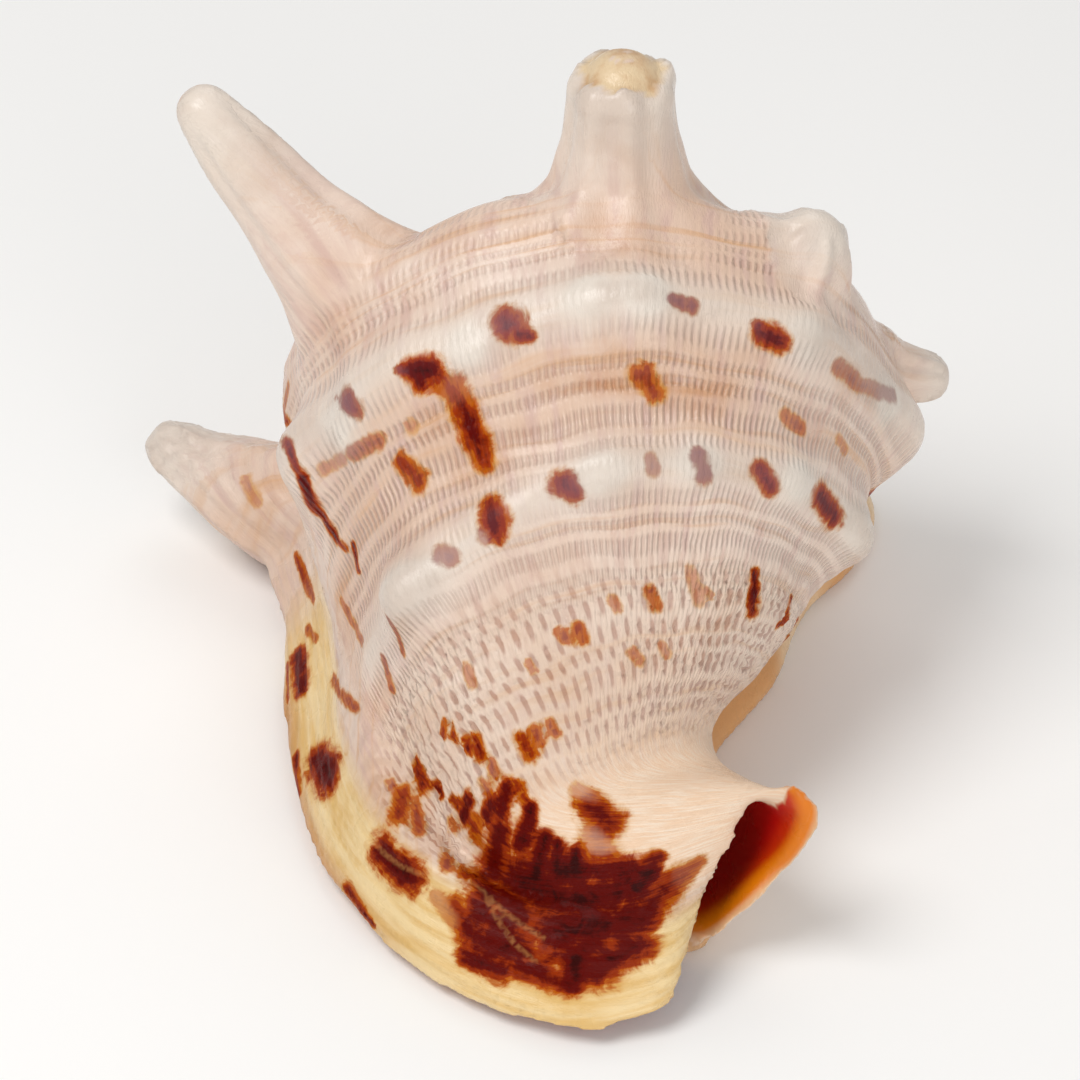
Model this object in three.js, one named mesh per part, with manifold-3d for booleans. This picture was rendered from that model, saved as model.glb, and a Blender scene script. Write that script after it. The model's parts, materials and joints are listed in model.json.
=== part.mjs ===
// A horned helmet shell, sold as a cow face conch: one grown piece, lying on its shield and outer lip.
// Millimetres, +Z up. The coiling axis runs along Y, with its apex raised at the +Y end.
// The outer lip is on the -X side, the free edge of the shield on the +X side, the siphonal canal at -Y.
// Psi is the angle round the coiling axis in degrees: 0 on the back of the shell, growing to the lip.
// The shell is set out about its own axis and moved at the end, so its origin is below its middle.
import * as THREE from "three";
import { ParametricGeometry } from "three/addons/geometries/ParametricGeometry.js";
import { mergeGeometries, mergeVertices } from "three/addons/utils/BufferGeometryUtils.js";
import Module from "manifold-3d";

const wasm = await Module();
wasm.setup();

// The coiling axis, and how much the shell grows in one turn
const AXIS_TILT = 20;
const SHOULDER_HEIGHT = 55;
const APEX_HEIGHT = 28;
const WHORL_RATIO = 1.6;
const WALL = 4.5;
const CANAL_WALL = 2.6;
const CORE_INSET = 2;
const EDGE_TAPER = 0.25;
const FINEST_FACET = 0.15;

// The rows of the body whorl at psi 0, as [radius, height] about the axis, from the suture to the neck
const BODY_ROWS = [
  [35, 9],
  [47, 5.5],
  [56, 0],
  [58.5, -8],
  [57.5, -16],
  [53, -33],
  [45, -50],
  [36, -68],
  [26, -84],
  [16, -98],
];
const SPIRE_TURNS = 4;
// The ends of a whorl on the axis, in the same measure as its rows
const WHORL_POLES = { top: 5, bottom: -106 };
const CANAL_FLOOR_HEIGHT = -102;
const COLUMELLA_SHARE = 0.45;
const ROW = { shoulder: 2, upperKnobs: 4.45, lowerKnobs: 6.05, nodules: 7.3, neck: 9, throat: 10, rim: 11 };

// How much wider the front half of the whorl becomes on its way to the lip, row by row
const LIP_SWELL = [0, 0, 0, 0, 0, 0.02, 0.07, 0.17, 0.34, 0.6];

// Where the whorl begins and ends, and the angle between two growth lines that are set out
const FIRST_PSI = -210;
const LAST_PSI = 90;
const STATION_STEP = 30;
// The hollow of the last whorl lies between these angles, over the whorl before it
const HOLLOW = { closed: 0, open: 24, columella: 120, wall: 150 };

// The rim of the siphonal canal, from the slit on the underside over its top to the outer lip
const CANAL_RIM = [
  [10, -114, 4],
  [15, -115, 6],
  [24.5, -113, 17],
  [30, -113, 24],
  [33.5, -112.5, 31],
  [34.5, -110, 36.5],
  [30, -105, 38],
  [23, -106, 34],
  [18.5, -109, 26],
];
// The throat of the canal: the line half way from the neck of the whorl to that rim, at every growth line
const CANAL_THROAT = [
  [2, -90, 8],
  [8, -92, 6],
  [14, -94, 9],
  [19, -95, 15],
  [22, -96, 22],
  [22.5, -97, 29],
  [20, -98.5, 33],
  [15, -100, 35],
  [9, -104, 35],
  [1, -110, 30],
  [-6, -118, 22.5],
];
// The groove behind the outer lip and the free edge of the lip, both from the suture to the canal
const LIP_GROOVE = [
  [-33, 14, 37],
  [-53, 15, 33],
  [-67, 9, 30],
  [-66, -8, 26],
  [-63, -26, 22],
  [-59, -48, 19.5],
  [-57, -71, 18],
  [-50, -94, 18.5],
  [-37, -110, 18.5],
  [-17, -121, 18.5],
  [3, -122, 18.5],
  [14, -113, 18],
];
const LIP_EDGE = [
  [-20, 16, 21],
  [-50, 25, 10],
  [-78, 9, 8],
  [-75, -10, 7],
  [-71, -26, 5],
  [-70.5, -45, 3.5],
  [-67, -71, 3],
  [-59, -96, 2.5],
  [-40, -121.5, 2.5],
  [-14, -136, 3],
  [6, -131, 5],
  [9.5, -118.5, 10],
];

// Swellings of the whorl, as [psi, row, height, half width in psi, half width in rows]
const SWELLINGS = [
  [84, ROW.shoulder, 6, 18, 1.5],
  [31, ROW.shoulder, 3.5, 12, 1.4],
  [57, ROW.shoulder, 5, 14, 1.5],
  [4, ROW.shoulder, 6, 15, 1.5],
  [-33, ROW.shoulder, 3, 10, 1.0],
  [-62, ROW.shoulder, -5, 14, 1.4],
  [-90, ROW.shoulder, 4, 10, 1.0],
  [-150, ROW.shoulder, 4, 10, 1.0],
  [88, ROW.upperKnobs, 5, 13, 0.5],
  [50, ROW.upperKnobs, 2, 13, 0.4],
  [4, ROW.upperKnobs, 4, 15, 0.5],
  [-36, ROW.upperKnobs, 2, 10, 0.4],
  [-86, ROW.upperKnobs, 6, 12, 0.6],
  [62, ROW.lowerKnobs + 0.45, 5, 13, 0.4],
  [34, ROW.lowerKnobs + 0.25, 1.5, 9, 0.3],
  [8, ROW.lowerKnobs, 3, 13, 0.35],
  [-38, ROW.lowerKnobs, 1.5, 9, 0.3],
  [-82, ROW.lowerKnobs, 5.5, 12, 0.45],
];
// Low ridges that run round the whorl, as [row, height, half width in rows, rows it drifts down to the lip]
const RIDGES = [
  [ROW.upperKnobs, 2, 0.45, 0],
  [ROW.lowerKnobs, 1.6, 0.35, 0.45],
  [ROW.nodules, 0.7, 0.25, 0.45],
];
const DRIFT_PSI = 60;

// The horns of the shoulder: foot, bend and tip of the middle line, then [distance left to the tip, radius]
// The foot is narrower along the axis than round it by the given share
const ROUND_TIP = [[0, 0], [0.6, 2.6], [2.2, 4.6], [5, 5.8]];
// The horn that lost its tip shows the blunt core inside the broken rim of its outer layer
const BROKEN_TIP = [[0, 0], [0.8, 4], [3, 7], [5, 7.8], [4.5, 9]];
const HORNS = [
  {
    foot: [-52, -6, 14],
    bend: [-80, 8, 13],
    tip: [-99.5, 20, 21],
    squash: 0.75,
    profile: [...ROUND_TIP, [13, 7.5], [22, 10.5], [32, 14], [42, 16], [52, 12]],
  },
  {
    foot: [-36, -16, 62],
    bend: [-62, -7, 88],
    tip: [-86, 4, 118],
    squash: 0.6,
    profile: [...ROUND_TIP, [18, 7.8], [32, 10], [43, 13.5], [53, 19], [61, 23], [72, 18]],
  },
  {
    foot: [-3, -16, 78],
    bend: [-3, -13, 105],
    tip: [-3, -11, 136],
    squash: 0.55,
    profile: [
      ...BROKEN_TIP,
      [7, 9.8],
      [18, 10.8],
      [27, 13.5],
      [34, 18.5],
      [42, 27],
      [54, 30],
    ],
  },
  {
    foot: [27, -16, 82],
    bend: [32, -17, 93],
    tip: [36, -17, 103],
    squash: 0.8,
    profile: [[0, 0], [0.7, 3.4], [3, 6], [8, 9], [18, 14]],
  },
  {
    foot: [40, 0, 54],
    bend: [52, 0, 52],
    tip: [64, 1, 50],
    squash: 0.8,
    profile: [[0, 0], [0.6, 2.4], [2, 4.2], [8, 5.6], [14, 8], [22, 11]],
  },
];

// The shield: the outline of the flat callus under the shell, seen from above, and its thickness
const SHIELD_OUTLINE = [
  [10, -114],
  [17, -100],
  [18, -72],
  [16, -60],
  [29, -37],
  [36, -16],
  [48, 2],
  [52, 20],
  [42, 36],
  [16, 44],
  [-14, 42],
  [-40, 32],
  [-44, 14],
  [-33, 4],
  [-31, -20],
  [-27, -48],
  [-18, -74],
  [-6, -98],
];
// The shield from its flat underside over its edge and up to the whorl, as [share of the outline, height]
const SHIELD_CENTRE = [0, -20];
const SHIELD_PROFILE = [
  [0, 0],
  [0.96, 0],
  [1, 1.6],
  [0.99, 3.6],
  [0.9, 6],
  [0.78, 10],
  [0.66, 18],
  [0, 24],
];

// The thick inner side of the outer lip: the middle line of its roll and the half sizes of its section
const LIP_ROLL = [
  [-34, 22, 9],
  [-54, 8, 8],
  [-58, -18, 6],
  [-57, -45, 5],
  [-53, -70, 4.5],
  [-42, -94, 4.5],
  [-25, -112, 4.5],
  [-6, -120, 5],
];
const LIP_ROLL_HALF_WIDTH = 11;
const LIP_ROLL_HALF_HEIGHT = 5.5;
// The teeth of the lip and the folds of the columella: how many, and the half sizes of each
const LIP_TEETH = { count: 11, from: 0.2, to: 0.9, size: [5, 1.9, 3] };
const COLUMELLA_FOLDS = { count: 9, size: [5, 1.4, 2.6], lift: 5 };
// The knobs on the shoulder of the whorl before the last: the angle between two, and their size
const SPIRE_KNOBS = { from: -185, step: 42, to: 60, size: 3.4 };

const { PI, cos, exp, floor, min, round, sin, sqrt } = Math;
const { clamp, lerp, smoothstep } = THREE.MathUtils;
const degrees = PI / 180;
const vector = (x, y, z) => new THREE.Vector3(x, y, z);
const points = (list) => list.map(([x, y, z]) => vector(x, y, z));
const axis = vector(0, cos(AXIS_TILT * degrees), sin(AXIS_TILT * degrees));
const dorsal = vector(0, -sin(AXIS_TILT * degrees), cos(AXIS_TILT * degrees));
const shoulderCentre = vector(0, 0, SHOULDER_HEIGHT);

const growth = (psi) => WHORL_RATIO ** (psi / 360);
const bell = (x) => exp(-x * x);

// A point from its distance to the axis, its angle round it and its height along it
function around(radius, psi, height) {
  const angle = psi * degrees;
  return shoulderCentre
    .clone()
    .addScaledVector(axis, height)
    .addScaledVector(dorsal, radius * cos(angle))
    .add(vector(-radius * sin(angle), 0, 0));
}

// One row of the whorl at an angle, as [radius, height]: it grows about the apex
function grown([radius, height], psi) {
  const g = growth(psi);
  return [radius * g, APEX_HEIGHT + (height - APEX_HEIGHT) * g];
}

// A smooth curve through a list of points, where t counts along the list
function through(list, t) {
  const last = list.length - 1;
  const i = clamp(floor(t), 0, last - 1);
  const f = t - i;
  const at = (k) => {
    if (k < 0) return list[0].clone().multiplyScalar(2).sub(list[1]);
    if (k > last) return list[last].clone().multiplyScalar(2).sub(list[last - 1]);
    return list[k];
  };
  const [a, b, c, d] = [at(i - 1), at(i), at(i + 1), at(i + 2)];
  const spline = (p, q, r, s) =>
    q + 0.5 * f * (r - p + f * (2 * p - 5 * q + 4 * r - s + f * (3 * (q - r) + s - p)));
  return vector(spline(a.x, b.x, c.x, d.x), spline(a.y, b.y, c.y, d.y), spline(a.z, b.z, c.z, d.z));
}

const canalRim = new THREE.CatmullRomCurve3(points(CANAL_RIM), false, "centripetal");
const canalThroat = points(CANAL_THROAT);

// A growth line of the whorl: a point on each row, from the suture to the rim of the canal
function growthLine(psi) {
  const swell = smoothstep(psi, 0, LAST_PSI);
  const rows = BODY_ROWS.map((row, i) => {
    const [radius, height] = grown(row, psi);
    return around(radius * (1 + LIP_SWELL[i] * swell), psi, height);
  });
  const rim = canalRim.getPoint((psi - FIRST_PSI) / (LAST_PSI - FIRST_PSI));
  return [...rows, canalThroat[(psi - FIRST_PSI) / STATION_STEP], rim];
}

const growthLines = [];
for (let psi = FIRST_PSI; psi <= LAST_PSI; psi += STATION_STEP) growthLines.push(growthLine(psi));
growthLines.push(points(LIP_GROOVE), points(LIP_EDGE));
const LAST_STATION = growthLines.length - 1;

// The smooth sheet of the whorl: station counts the growth lines, row counts from suture to rim
const plainSheet = (station, row) => through(growthLines.map((line) => through(line, row)), station);

function sheetNormal(station, row) {
  const step = 0.02;
  const along = plainSheet(station + step, row).sub(plainSheet(station - step, row));
  const across = plainSheet(station, row + step).sub(plainSheet(station, row - step));
  return along.cross(across).normalize();
}

// How far ridges, knobs and the feet of the horns rise from the smooth sheet
function relief(station, row) {
  const psi = FIRST_PSI + station * STATION_STEP;
  const fade = 1 - smoothstep(station, LAST_STATION - 2, LAST_STATION - 1);
  let height = 0;
  const drifted = clamp(psi / DRIFT_PSI, 0, 1);
  for (const [ridgeRow, rise, width, drift] of RIDGES) {
    height += rise * fade * bell((row - ridgeRow - drift * drifted) / width);
  }
  for (const [centre, middleRow, rise, width, depth] of SWELLINGS) {
    height += rise * bell((psi - centre) / width) * bell((row - middleRow) / depth);
  }
  return height;
}

// A closed solid from surfaces whose edges meet
function solid(...surfaces) {
  const bare = surfaces.map((surface) => {
    const copy = surface.clone();
    copy.deleteAttribute("normal");
    copy.deleteAttribute("uv");
    return copy;
  });
  const merged = mergeVertices(mergeGeometries(bare), 1e-3);
  const vertProperties = Float32Array.from(merged.attributes.position.array);
  const corner = (i) => vector(...vertProperties.slice(3 * i, 3 * i + 3));
  let triVerts = [];
  let volume = 0;
  for (let i = 0; i < merged.index.count; i += 3) {
    const [a, b, c] = merged.index.array.slice(i, i + 3);
    if (a === b || b === c || c === a) continue;
    triVerts.push(a, b, c);
    volume += corner(a).dot(corner(b).cross(corner(c)));
  }
  if (volume < 0) triVerts = triVerts.reverse();
  return new wasm.Manifold(
    new wasm.Mesh({ numProp: 3, vertProperties, triVerts: Uint32Array.from(triVerts) })
  );
}

// A surface from a function of two lists of values
function patch(columns, rows, place) {
  const pick = (list, t) => list[round(t * (list.length - 1))];
  const put = (u, v, target) => target.copy(place(pick(columns, u), pick(rows, v)));
  return new ParametricGeometry(put, columns.length - 1, rows.length - 1);
}

function range(count, from, to) {
  return Array.from({ length: count + 1 }, (_, i) => from + ((to - from) * i) / count);
}

// The wall of the last whorl with the flared lip, thinning to an edge all round
function whorlWall() {
  const lip = [0.75, 0.5, 0.25, 0.08, 0].map((left) => LAST_STATION - left);
  const columns = [0, 0.1, ...range(27, 0.4, LAST_STATION - 1), ...lip];
  const upper = [0, 0.15, ...range(7, 0.5, 3.3), ...range(12, 3.6, 7.2), 7.6, 8, 8.5];
  const rows = [...upper, ...range(4, ROW.neck, 10.6), 10.9, ROW.rim];
  const body = (station, row) => {
    const margin = min(station, row, LAST_STATION - station, ROW.rim - row);
    return sqrt(clamp(margin / EDGE_TAPER, 0, 1));
  };
  const offset = (station, row, distance) => {
    const normal = sheetNormal(station, row);
    return plainSheet(station, row).addScaledVector(normal, distance * body(station, row));
  };
  const outside = (station, row) => offset(station, row, relief(station, row));
  const inside = (station, row) => {
    return offset(station, row, -lerp(WALL, CANAL_WALL, smoothstep(row, ROW.neck - 1, ROW.throat)));
  };
  return solid(patch(columns, rows, outside), patch([...columns].reverse(), rows, inside));
}

// A whorl further in, as a solid of its own: a flat face closes it where the next one begins
function innerWhorl(turnsBack) {
  const top = grown([0, WHORL_POLES.top], -360 * turnsBack)[1];
  const bottom = grown([0, WHORL_POLES.bottom], -360 * turnsBack)[1];
  const place = (theta, row) => {
    if (row < 0) return around(0, 0, turnsBack === SPIRE_TURNS ? APEX_HEIGHT : top);
    if (row > ROW.neck) return around(0, 0, bottom);
    const [radius, height] = grown(BODY_ROWS[row], theta - 360 * turnsBack);
    return around(radius, theta, height);
  };
  const start = FIRST_PSI + 3 * turnsBack;
  const columns = [...range(22 + 3 * turnsBack, start, start + 360), start];
  return solid(patch(columns, range(ROW.neck + 2, -1, ROW.neck + 1), place));
}

// What fills the last whorl, but for the hollow of its last half turn round the columella
function filling() {
  const beside = (theta) => BODY_ROWS.map((row) => grown(row, theta));
  const columella = BODY_ROWS.map(([radius, height]) => [radius * COLUMELLA_SHARE, height]);
  const place = (theta, row) => {
    if (row < 0) return around(0, 0, WHORL_POLES.top);
    if (row > ROW.neck) return around(0, 0, CANAL_FLOOR_HEIGHT);
    const opened = smoothstep(theta, HOLLOW.closed, HOLLOW.open);
    const closing = smoothstep(theta, HOLLOW.columella, HOLLOW.wall);
    const start = beside(min(theta, HOLLOW.closed))[row];
    const end = beside(FIRST_PSI)[row];
    const blend = (k) => lerp(lerp(start[k], columella[row][k], opened), end[k], closing);
    return around(blend(0) - CORE_INSET, theta, blend(1));
  };
  const columns = [...range(15, FIRST_PSI, HOLLOW.closed), 12, ...range(8, HOLLOW.open, HOLLOW.wall)];
  return solid(patch(columns, range(ROW.neck + 2, -1, ROW.neck + 1), place));
}

// A horn with a wide foot, swept along its bent middle line
function horn({ foot, bend, tip, squash, profile }) {
  const line = new THREE.QuadraticBezierCurve3(...points([foot, bend, tip]));
  const length = line.getLength();
  const sides = range(12, 0, 2 * PI);
  const side = line.getTangent(0.5).cross(axis).normalize();
  const place = (angle, i) => {
    if (i < 0) return line.getPointAt(0);
    const [left, radius] = profile[i];
    const t = clamp(1 - left / length, 0, 1);
    const tangent = line.getTangentAt(t);
    const wide = side.clone().addScaledVector(tangent, -side.dot(tangent)).normalize();
    const deep = tangent.clone().cross(wide);
    const depth = radius * lerp(squash, 1, smoothstep(t, 0.1, 0.7));
    return line
      .getPointAt(t)
      .addScaledVector(wide, radius * cos(angle))
      .addScaledVector(deep, depth * sin(angle));
  };
  const rings = [...profile.keys()];
  return solid(patch(sides, [...rings, -1], place));
}

// A small egg-shaped swelling, turned about the vertical
function swelling({ x, y, z }, [a, b, c], turn = 0) {
  const ball = new THREE.SphereGeometry(1, 6, 4);
  return solid(ball.scale(a, b, c).rotateZ(turn).translate(x, y, z));
}

// The callus under the shell: flat below, with a free edge that rises to meet the whorl
function shield() {
  const outline = SHIELD_OUTLINE.map(([x, y]) => vector(x, y, 0));
  const closed = new THREE.CatmullRomCurve3(outline, true, "centripetal");
  const [centreX, centreY] = SHIELD_CENTRE;
  const place = (t, [share, height]) => {
    const point = closed.getPoint(t % 1);
    return vector(lerp(centreX, point.x, share), lerp(centreY, point.y, share), height);
  };
  return solid(patch(range(40, 0, 1), SHIELD_PROFILE, place));
}

// The roll along the inner side of the outer lip
function lipRoll() {
  const line = new THREE.CatmullRomCurve3(points(LIP_ROLL));
  const place = (angle, t) => {
    const size = sqrt(clamp(min(t, 1 - t) / 0.06, 0, 1));
    const tangent = line.getTangentAt(t);
    const across = vector(-tangent.y, tangent.x, 0).normalize();
    return line
      .getPointAt(t)
      .addScaledVector(across, -LIP_ROLL_HALF_WIDTH * size * cos(angle))
      .add(vector(0, 0, LIP_ROLL_HALF_HEIGHT * size * sin(angle)));
  };
  const along = [0, 0.02, 0.06, ...range(16, 0.11, 0.89), 0.94, 0.98, 1];
  return solid(patch(range(10, 0, 2 * PI), along, place));
}

// The teeth along the roll of the lip
function lipTeeth() {
  const line = new THREE.CatmullRomCurve3(points(LIP_ROLL));
  const { count, from, to, size } = LIP_TEETH;
  return range(count - 1, from, to).map((t) => {
    const tangent = line.getTangentAt(t);
    const inward = vector(-tangent.y, tangent.x, 0).normalize();
    const place = line.getPointAt(t).addScaledVector(inward, LIP_ROLL_HALF_WIDTH - 1);
    return swelling(place, size, Math.atan2(inward.y, inward.x));
  });
}

// The folds on the columella side of the aperture, along the last points of the shield's outline
function columellaFolds() {
  const side = new THREE.CatmullRomCurve3(SHIELD_OUTLINE.slice(-5).map(([x, y]) => vector(x, y, 0)));
  const { count, size, lift } = COLUMELLA_FOLDS;
  return range(count - 1, 0.08, 0.92).map((t) => swelling(side.getPointAt(t).setZ(lift), size, -0.25));
}

// The knobs left standing on the old shoulder, half covered by the suture
function spireKnobs() {
  const { from, step, to, size } = SPIRE_KNOBS;
  const knobs = [];
  for (let psi = from; psi <= to; psi += step) {
    const [radius, height] = grown(BODY_ROWS[ROW.shoulder], psi - 360);
    const r = size * growth(psi);
    knobs.push(swelling(around(radius, psi, height), [r, r, r]));
  }
  return knobs;
}

function conchShell() {
  const whorls = range(SPIRE_TURNS - 1, 1, SPIRE_TURNS).map(innerWhorl);
  const parts = [filling(), ...whorls, ...HORNS.map(horn), shield(), lipRoll()];
  parts.push(...lipTeeth(), ...columellaFolds(), ...spireKnobs());
  const shell = parts.reduce((joined, part) => joined.add(part), whorlWall());
  const aboveGround = solid(new THREE.BoxGeometry(400, 400, 200).translate(0, 0, 100));
  return shell.intersect(aboveGround).simplify(FINEST_FACET);
}

// The same solid with its origin on the ground, below the middle of the box round it
function centred(body) {
  const box = body.boundingBox();
  const [x, y, z] = box.min.map((low, i) => (low + box.max[i]) / 2);
  return body.translate([-x, -y, box.max[2] / 2 - z]);
}

// A three.js mesh from a solid
function meshOf(name, body, material) {
  const { vertProperties, triVerts } = body.getMesh();
  const geometry = new THREE.BufferGeometry();
  geometry.setAttribute("position", new THREE.BufferAttribute(vertProperties, 3));
  geometry.setIndex(new THREE.BufferAttribute(triVerts, 1));
  geometry.computeVertexNormals();
  const mesh = new THREE.Mesh(geometry, material);
  mesh.name = name;
  return mesh;
}

const shellMaterial = new THREE.MeshStandardMaterial({ color: 0xe2d3c6, roughness: 0.35, metalness: 0 });
const model = new THREE.Group();
model.add(meshOf("shell", centred(conchShell()), shellMaterial));

export default model;
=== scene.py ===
# %% [markdown]
# # A horned helmet shell
# The object is one grown piece: a big sea shell that lies on its shield and its outer lip. The packed
# model gives its place and size, so it is loaded first and nothing in it moves. This lesson grows the
# same shell again at a much finer grain, presses cords and pits into it, and glazes it.

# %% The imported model
import json
import math

import bpy
import numpy as np
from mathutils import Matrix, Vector
from mathutils.bvhtree import BVHTree
from mathutils.kdtree import KDTree

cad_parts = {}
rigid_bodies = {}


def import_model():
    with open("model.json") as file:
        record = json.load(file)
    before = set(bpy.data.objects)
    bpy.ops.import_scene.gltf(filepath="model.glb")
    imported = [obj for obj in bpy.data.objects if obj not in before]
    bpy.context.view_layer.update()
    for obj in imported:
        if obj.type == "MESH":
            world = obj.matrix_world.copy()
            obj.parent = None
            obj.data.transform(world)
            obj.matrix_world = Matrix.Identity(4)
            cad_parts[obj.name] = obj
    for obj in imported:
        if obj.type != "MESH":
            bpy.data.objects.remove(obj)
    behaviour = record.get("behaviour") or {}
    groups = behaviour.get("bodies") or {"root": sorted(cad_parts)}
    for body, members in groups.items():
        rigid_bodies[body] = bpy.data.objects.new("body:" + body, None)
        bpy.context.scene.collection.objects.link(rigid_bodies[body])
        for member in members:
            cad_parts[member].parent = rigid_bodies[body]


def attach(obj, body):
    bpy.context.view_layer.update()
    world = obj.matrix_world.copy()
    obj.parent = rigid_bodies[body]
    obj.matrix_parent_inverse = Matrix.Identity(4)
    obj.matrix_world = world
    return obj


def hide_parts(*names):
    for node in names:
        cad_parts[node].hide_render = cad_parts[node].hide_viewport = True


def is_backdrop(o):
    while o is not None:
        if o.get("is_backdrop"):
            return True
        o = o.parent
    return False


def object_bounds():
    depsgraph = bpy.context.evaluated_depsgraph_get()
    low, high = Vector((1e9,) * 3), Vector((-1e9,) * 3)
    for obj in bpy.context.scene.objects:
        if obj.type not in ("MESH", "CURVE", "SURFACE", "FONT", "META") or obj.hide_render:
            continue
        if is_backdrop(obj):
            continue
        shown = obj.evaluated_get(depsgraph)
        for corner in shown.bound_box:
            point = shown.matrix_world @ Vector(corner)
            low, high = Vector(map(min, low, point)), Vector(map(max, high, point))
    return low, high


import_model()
cad_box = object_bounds()
print("the packed shell reaches from", [round(v, 4) for v in cad_box[0]])
print("to", [round(v, 4) for v in cad_box[1]])

# %% [markdown]
# ## Measures
# A shell grows as a spiral: each growth line is the last one, turned about the coiling axis and made
# a little larger. Nobody can push a cube into that by hand, so the body is set out from its growth
# lines, as a shipwright lofts a hull. All measures here are millimetres about the shoulder of the
# shell; one function moves them to the frame, in metres, where a mesh is made.

# %% The coiling axis and the growth of one turn
MM = 0.001
# the middle of the box round the shell, seen from above, in these measures
BOX_MIDDLE = np.array([-18.268, -45.849, 0.0])
AXIS_TILT = math.radians(20)
SHOULDER_HEIGHT = 55.0
APEX_HEIGHT = 28.0
WHORL_RATIO = 1.6
WALL = 4.5
CANAL_WALL = 2.6
# an angle round the axis is called psi: nought on top of the back, and growing towards the lip
FIRST_PSI = -210.0
LAST_PSI = 90.0
STATION_STEP = 30.0
LAST_STATION = 12.0
# rows across the whorl count from the suture: the neck, the throat of the canal, and the canal's rim
NECK, THROAT, RIM = 9.0, 10.0, 11.0
axis = np.array([0.0, math.cos(AXIS_TILT), math.sin(AXIS_TILT)])
dorsal = np.array([0.0, -math.sin(AXIS_TILT), math.cos(AXIS_TILT)])
shoulder_centre = np.array([0.0, 0.0, SHOULDER_HEIGHT])
print("a turn of the shell makes it", WHORL_RATIO, "times as large")

# %% The rows of the last whorl on its back
# radius and height about the axis, from suture to neck
BODY_ROWS = np.array(
    [
        (35, 9), (47, 5.5), (56, 0), (58.5, -8), (57.5, -16),
        (53, -33), (45, -50), (36, -68), (26, -84), (16, -98),
    ],
    float,
)
# the share by which each row swells towards the lip
LIP_SWELL = np.array([0, 0, 0, 0, 0, 0.02, 0.07, 0.17, 0.34, 0.6])
print(len(BODY_ROWS), "rows on the back")

# %% The lines that close the whorl: canal, groove behind the lip, and lip
CANAL_RIM = [
    (10, -114, 4), (15, -115, 6), (24.5, -113, 17), (30, -113, 24), (33.5, -112.5, 31),
    (34.5, -110, 36.5), (30, -105, 38), (23, -106, 34), (18.5, -109, 26),
]
CANAL_THROAT = [
    (2, -90, 8), (8, -92, 6), (14, -94, 9), (19, -95, 15), (22, -96, 22), (22.5, -97, 29),
    (20, -98.5, 33), (15, -100, 35), (9, -104, 35), (1, -110, 30), (-6, -118, 22.5),
]
LIP_GROOVE = [
    (-33, 14, 37), (-53, 15, 33), (-67, 9, 30), (-66, -8, 26), (-63, -26, 22), (-59, -48, 19.5),
    (-57, -71, 18), (-50, -94, 18.5), (-37, -110, 18.5), (-17, -121, 18.5), (3, -122, 18.5),
    (14, -113, 18),
]
LIP_EDGE = [
    (-20, 16, 21), (-50, 25, 10), (-78, 9, 8), (-75, -10, 7), (-71, -26, 5), (-70.5, -45, 3.5),
    (-67, -71, 3), (-59, -96, 2.5), (-40, -121.5, 2.5), (-14, -136, 3), (6, -131, 5), (9.5, -118.5, 10),
]


# %% Helpers for curves
def points(values):
    return np.array(values, float)


def smooth_step(x, low, high):
    """Nothing below low, one above high, and a soft rise between them."""
    t = np.clip((np.asarray(x, float) - low) / (high - low), 0, 1)
    return t * t * (3 - 2 * t)


def bell(x):
    """One at nought, falling off softly on both sides."""
    return np.exp(-np.asarray(x) ** 2)


def lerp(a, b, t):
    return a + (b - a) * t


def unit(v):
    return v / np.maximum(np.linalg.norm(v, axis=-1, keepdims=True), 1e-9)


def knot_span(u, v):
    """The root of the distance between two points, as a column."""
    return np.maximum(np.linalg.norm(v - u, axis=-1, keepdims=True) ** 0.5, 1e-4)


def taut_curve(given, t, closed=False):
    """A smooth curve through points that doesn't overshoot where they lie unevenly."""
    p = points(given)
    n = len(p)
    spans = n if closed else n - 1
    t = np.asarray(t, float) * spans
    i = np.clip(np.floor(t).astype(int), 0, spans - 1)
    f = (t - i)[..., None]
    if closed:
        a, b, c, d = p[(i - 1) % n], p[i % n], p[(i + 1) % n], p[(i + 2) % n]
    else:
        padded = np.concatenate([2 * p[:1] - p[1:2], p, 2 * p[-1:] - p[-2:-1]])
        a, b, c, d = padded[i], padded[i + 1], padded[i + 2], padded[i + 3]
    before, here, after = knot_span(a, b), knot_span(b, c), knot_span(c, d)
    slope_in = ((b - a) / before - (c - a) / (before + here) + (c - b) / here) * here
    slope_out = ((c - b) / here - (d - b) / (here + after) + (d - c) / after) * here
    bend = f**2 * (-3 * b + 3 * c - 2 * slope_in - slope_out)
    return b + f * slope_in + bend + f**3 * (2 * b - 2 * c + slope_in + slope_out)


def weights(f):
    """The shares of four neighbours at a fraction f of the way between the middle two."""
    before = 0.5 * (-f + 2 * f**2 - f**3)
    here = 0.5 * (2 - 5 * f**2 + 3 * f**3)
    there = 0.5 * (f + 4 * f**2 - 3 * f**3)
    after = 0.5 * (f**3 - f**2)
    return np.stack([before, here, there, after], -1)


# %% Helpers for the spiral
def growth(psi):
    return WHORL_RATIO ** (np.asarray(psi, float) / 360)


def around(radius, psi, height):
    """A point from its distance to the axis, its angle round it and its height along it."""
    angle = np.radians(psi)
    radius, angle, height = np.broadcast_arrays(radius, angle, height)
    up = (radius * np.cos(angle))[..., None] * dorsal
    side = -(radius * np.sin(angle))[..., None] * np.array([1.0, 0, 0])
    return shoulder_centre + height[..., None] * axis + up + side


def grown(row, psi):
    """Radius and height of one row of the whorl at an angle: it grows about the apex."""
    g = growth(psi)
    return row[0] * g, APEX_HEIGHT + (row[1] - APEX_HEIGHT) * g


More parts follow.
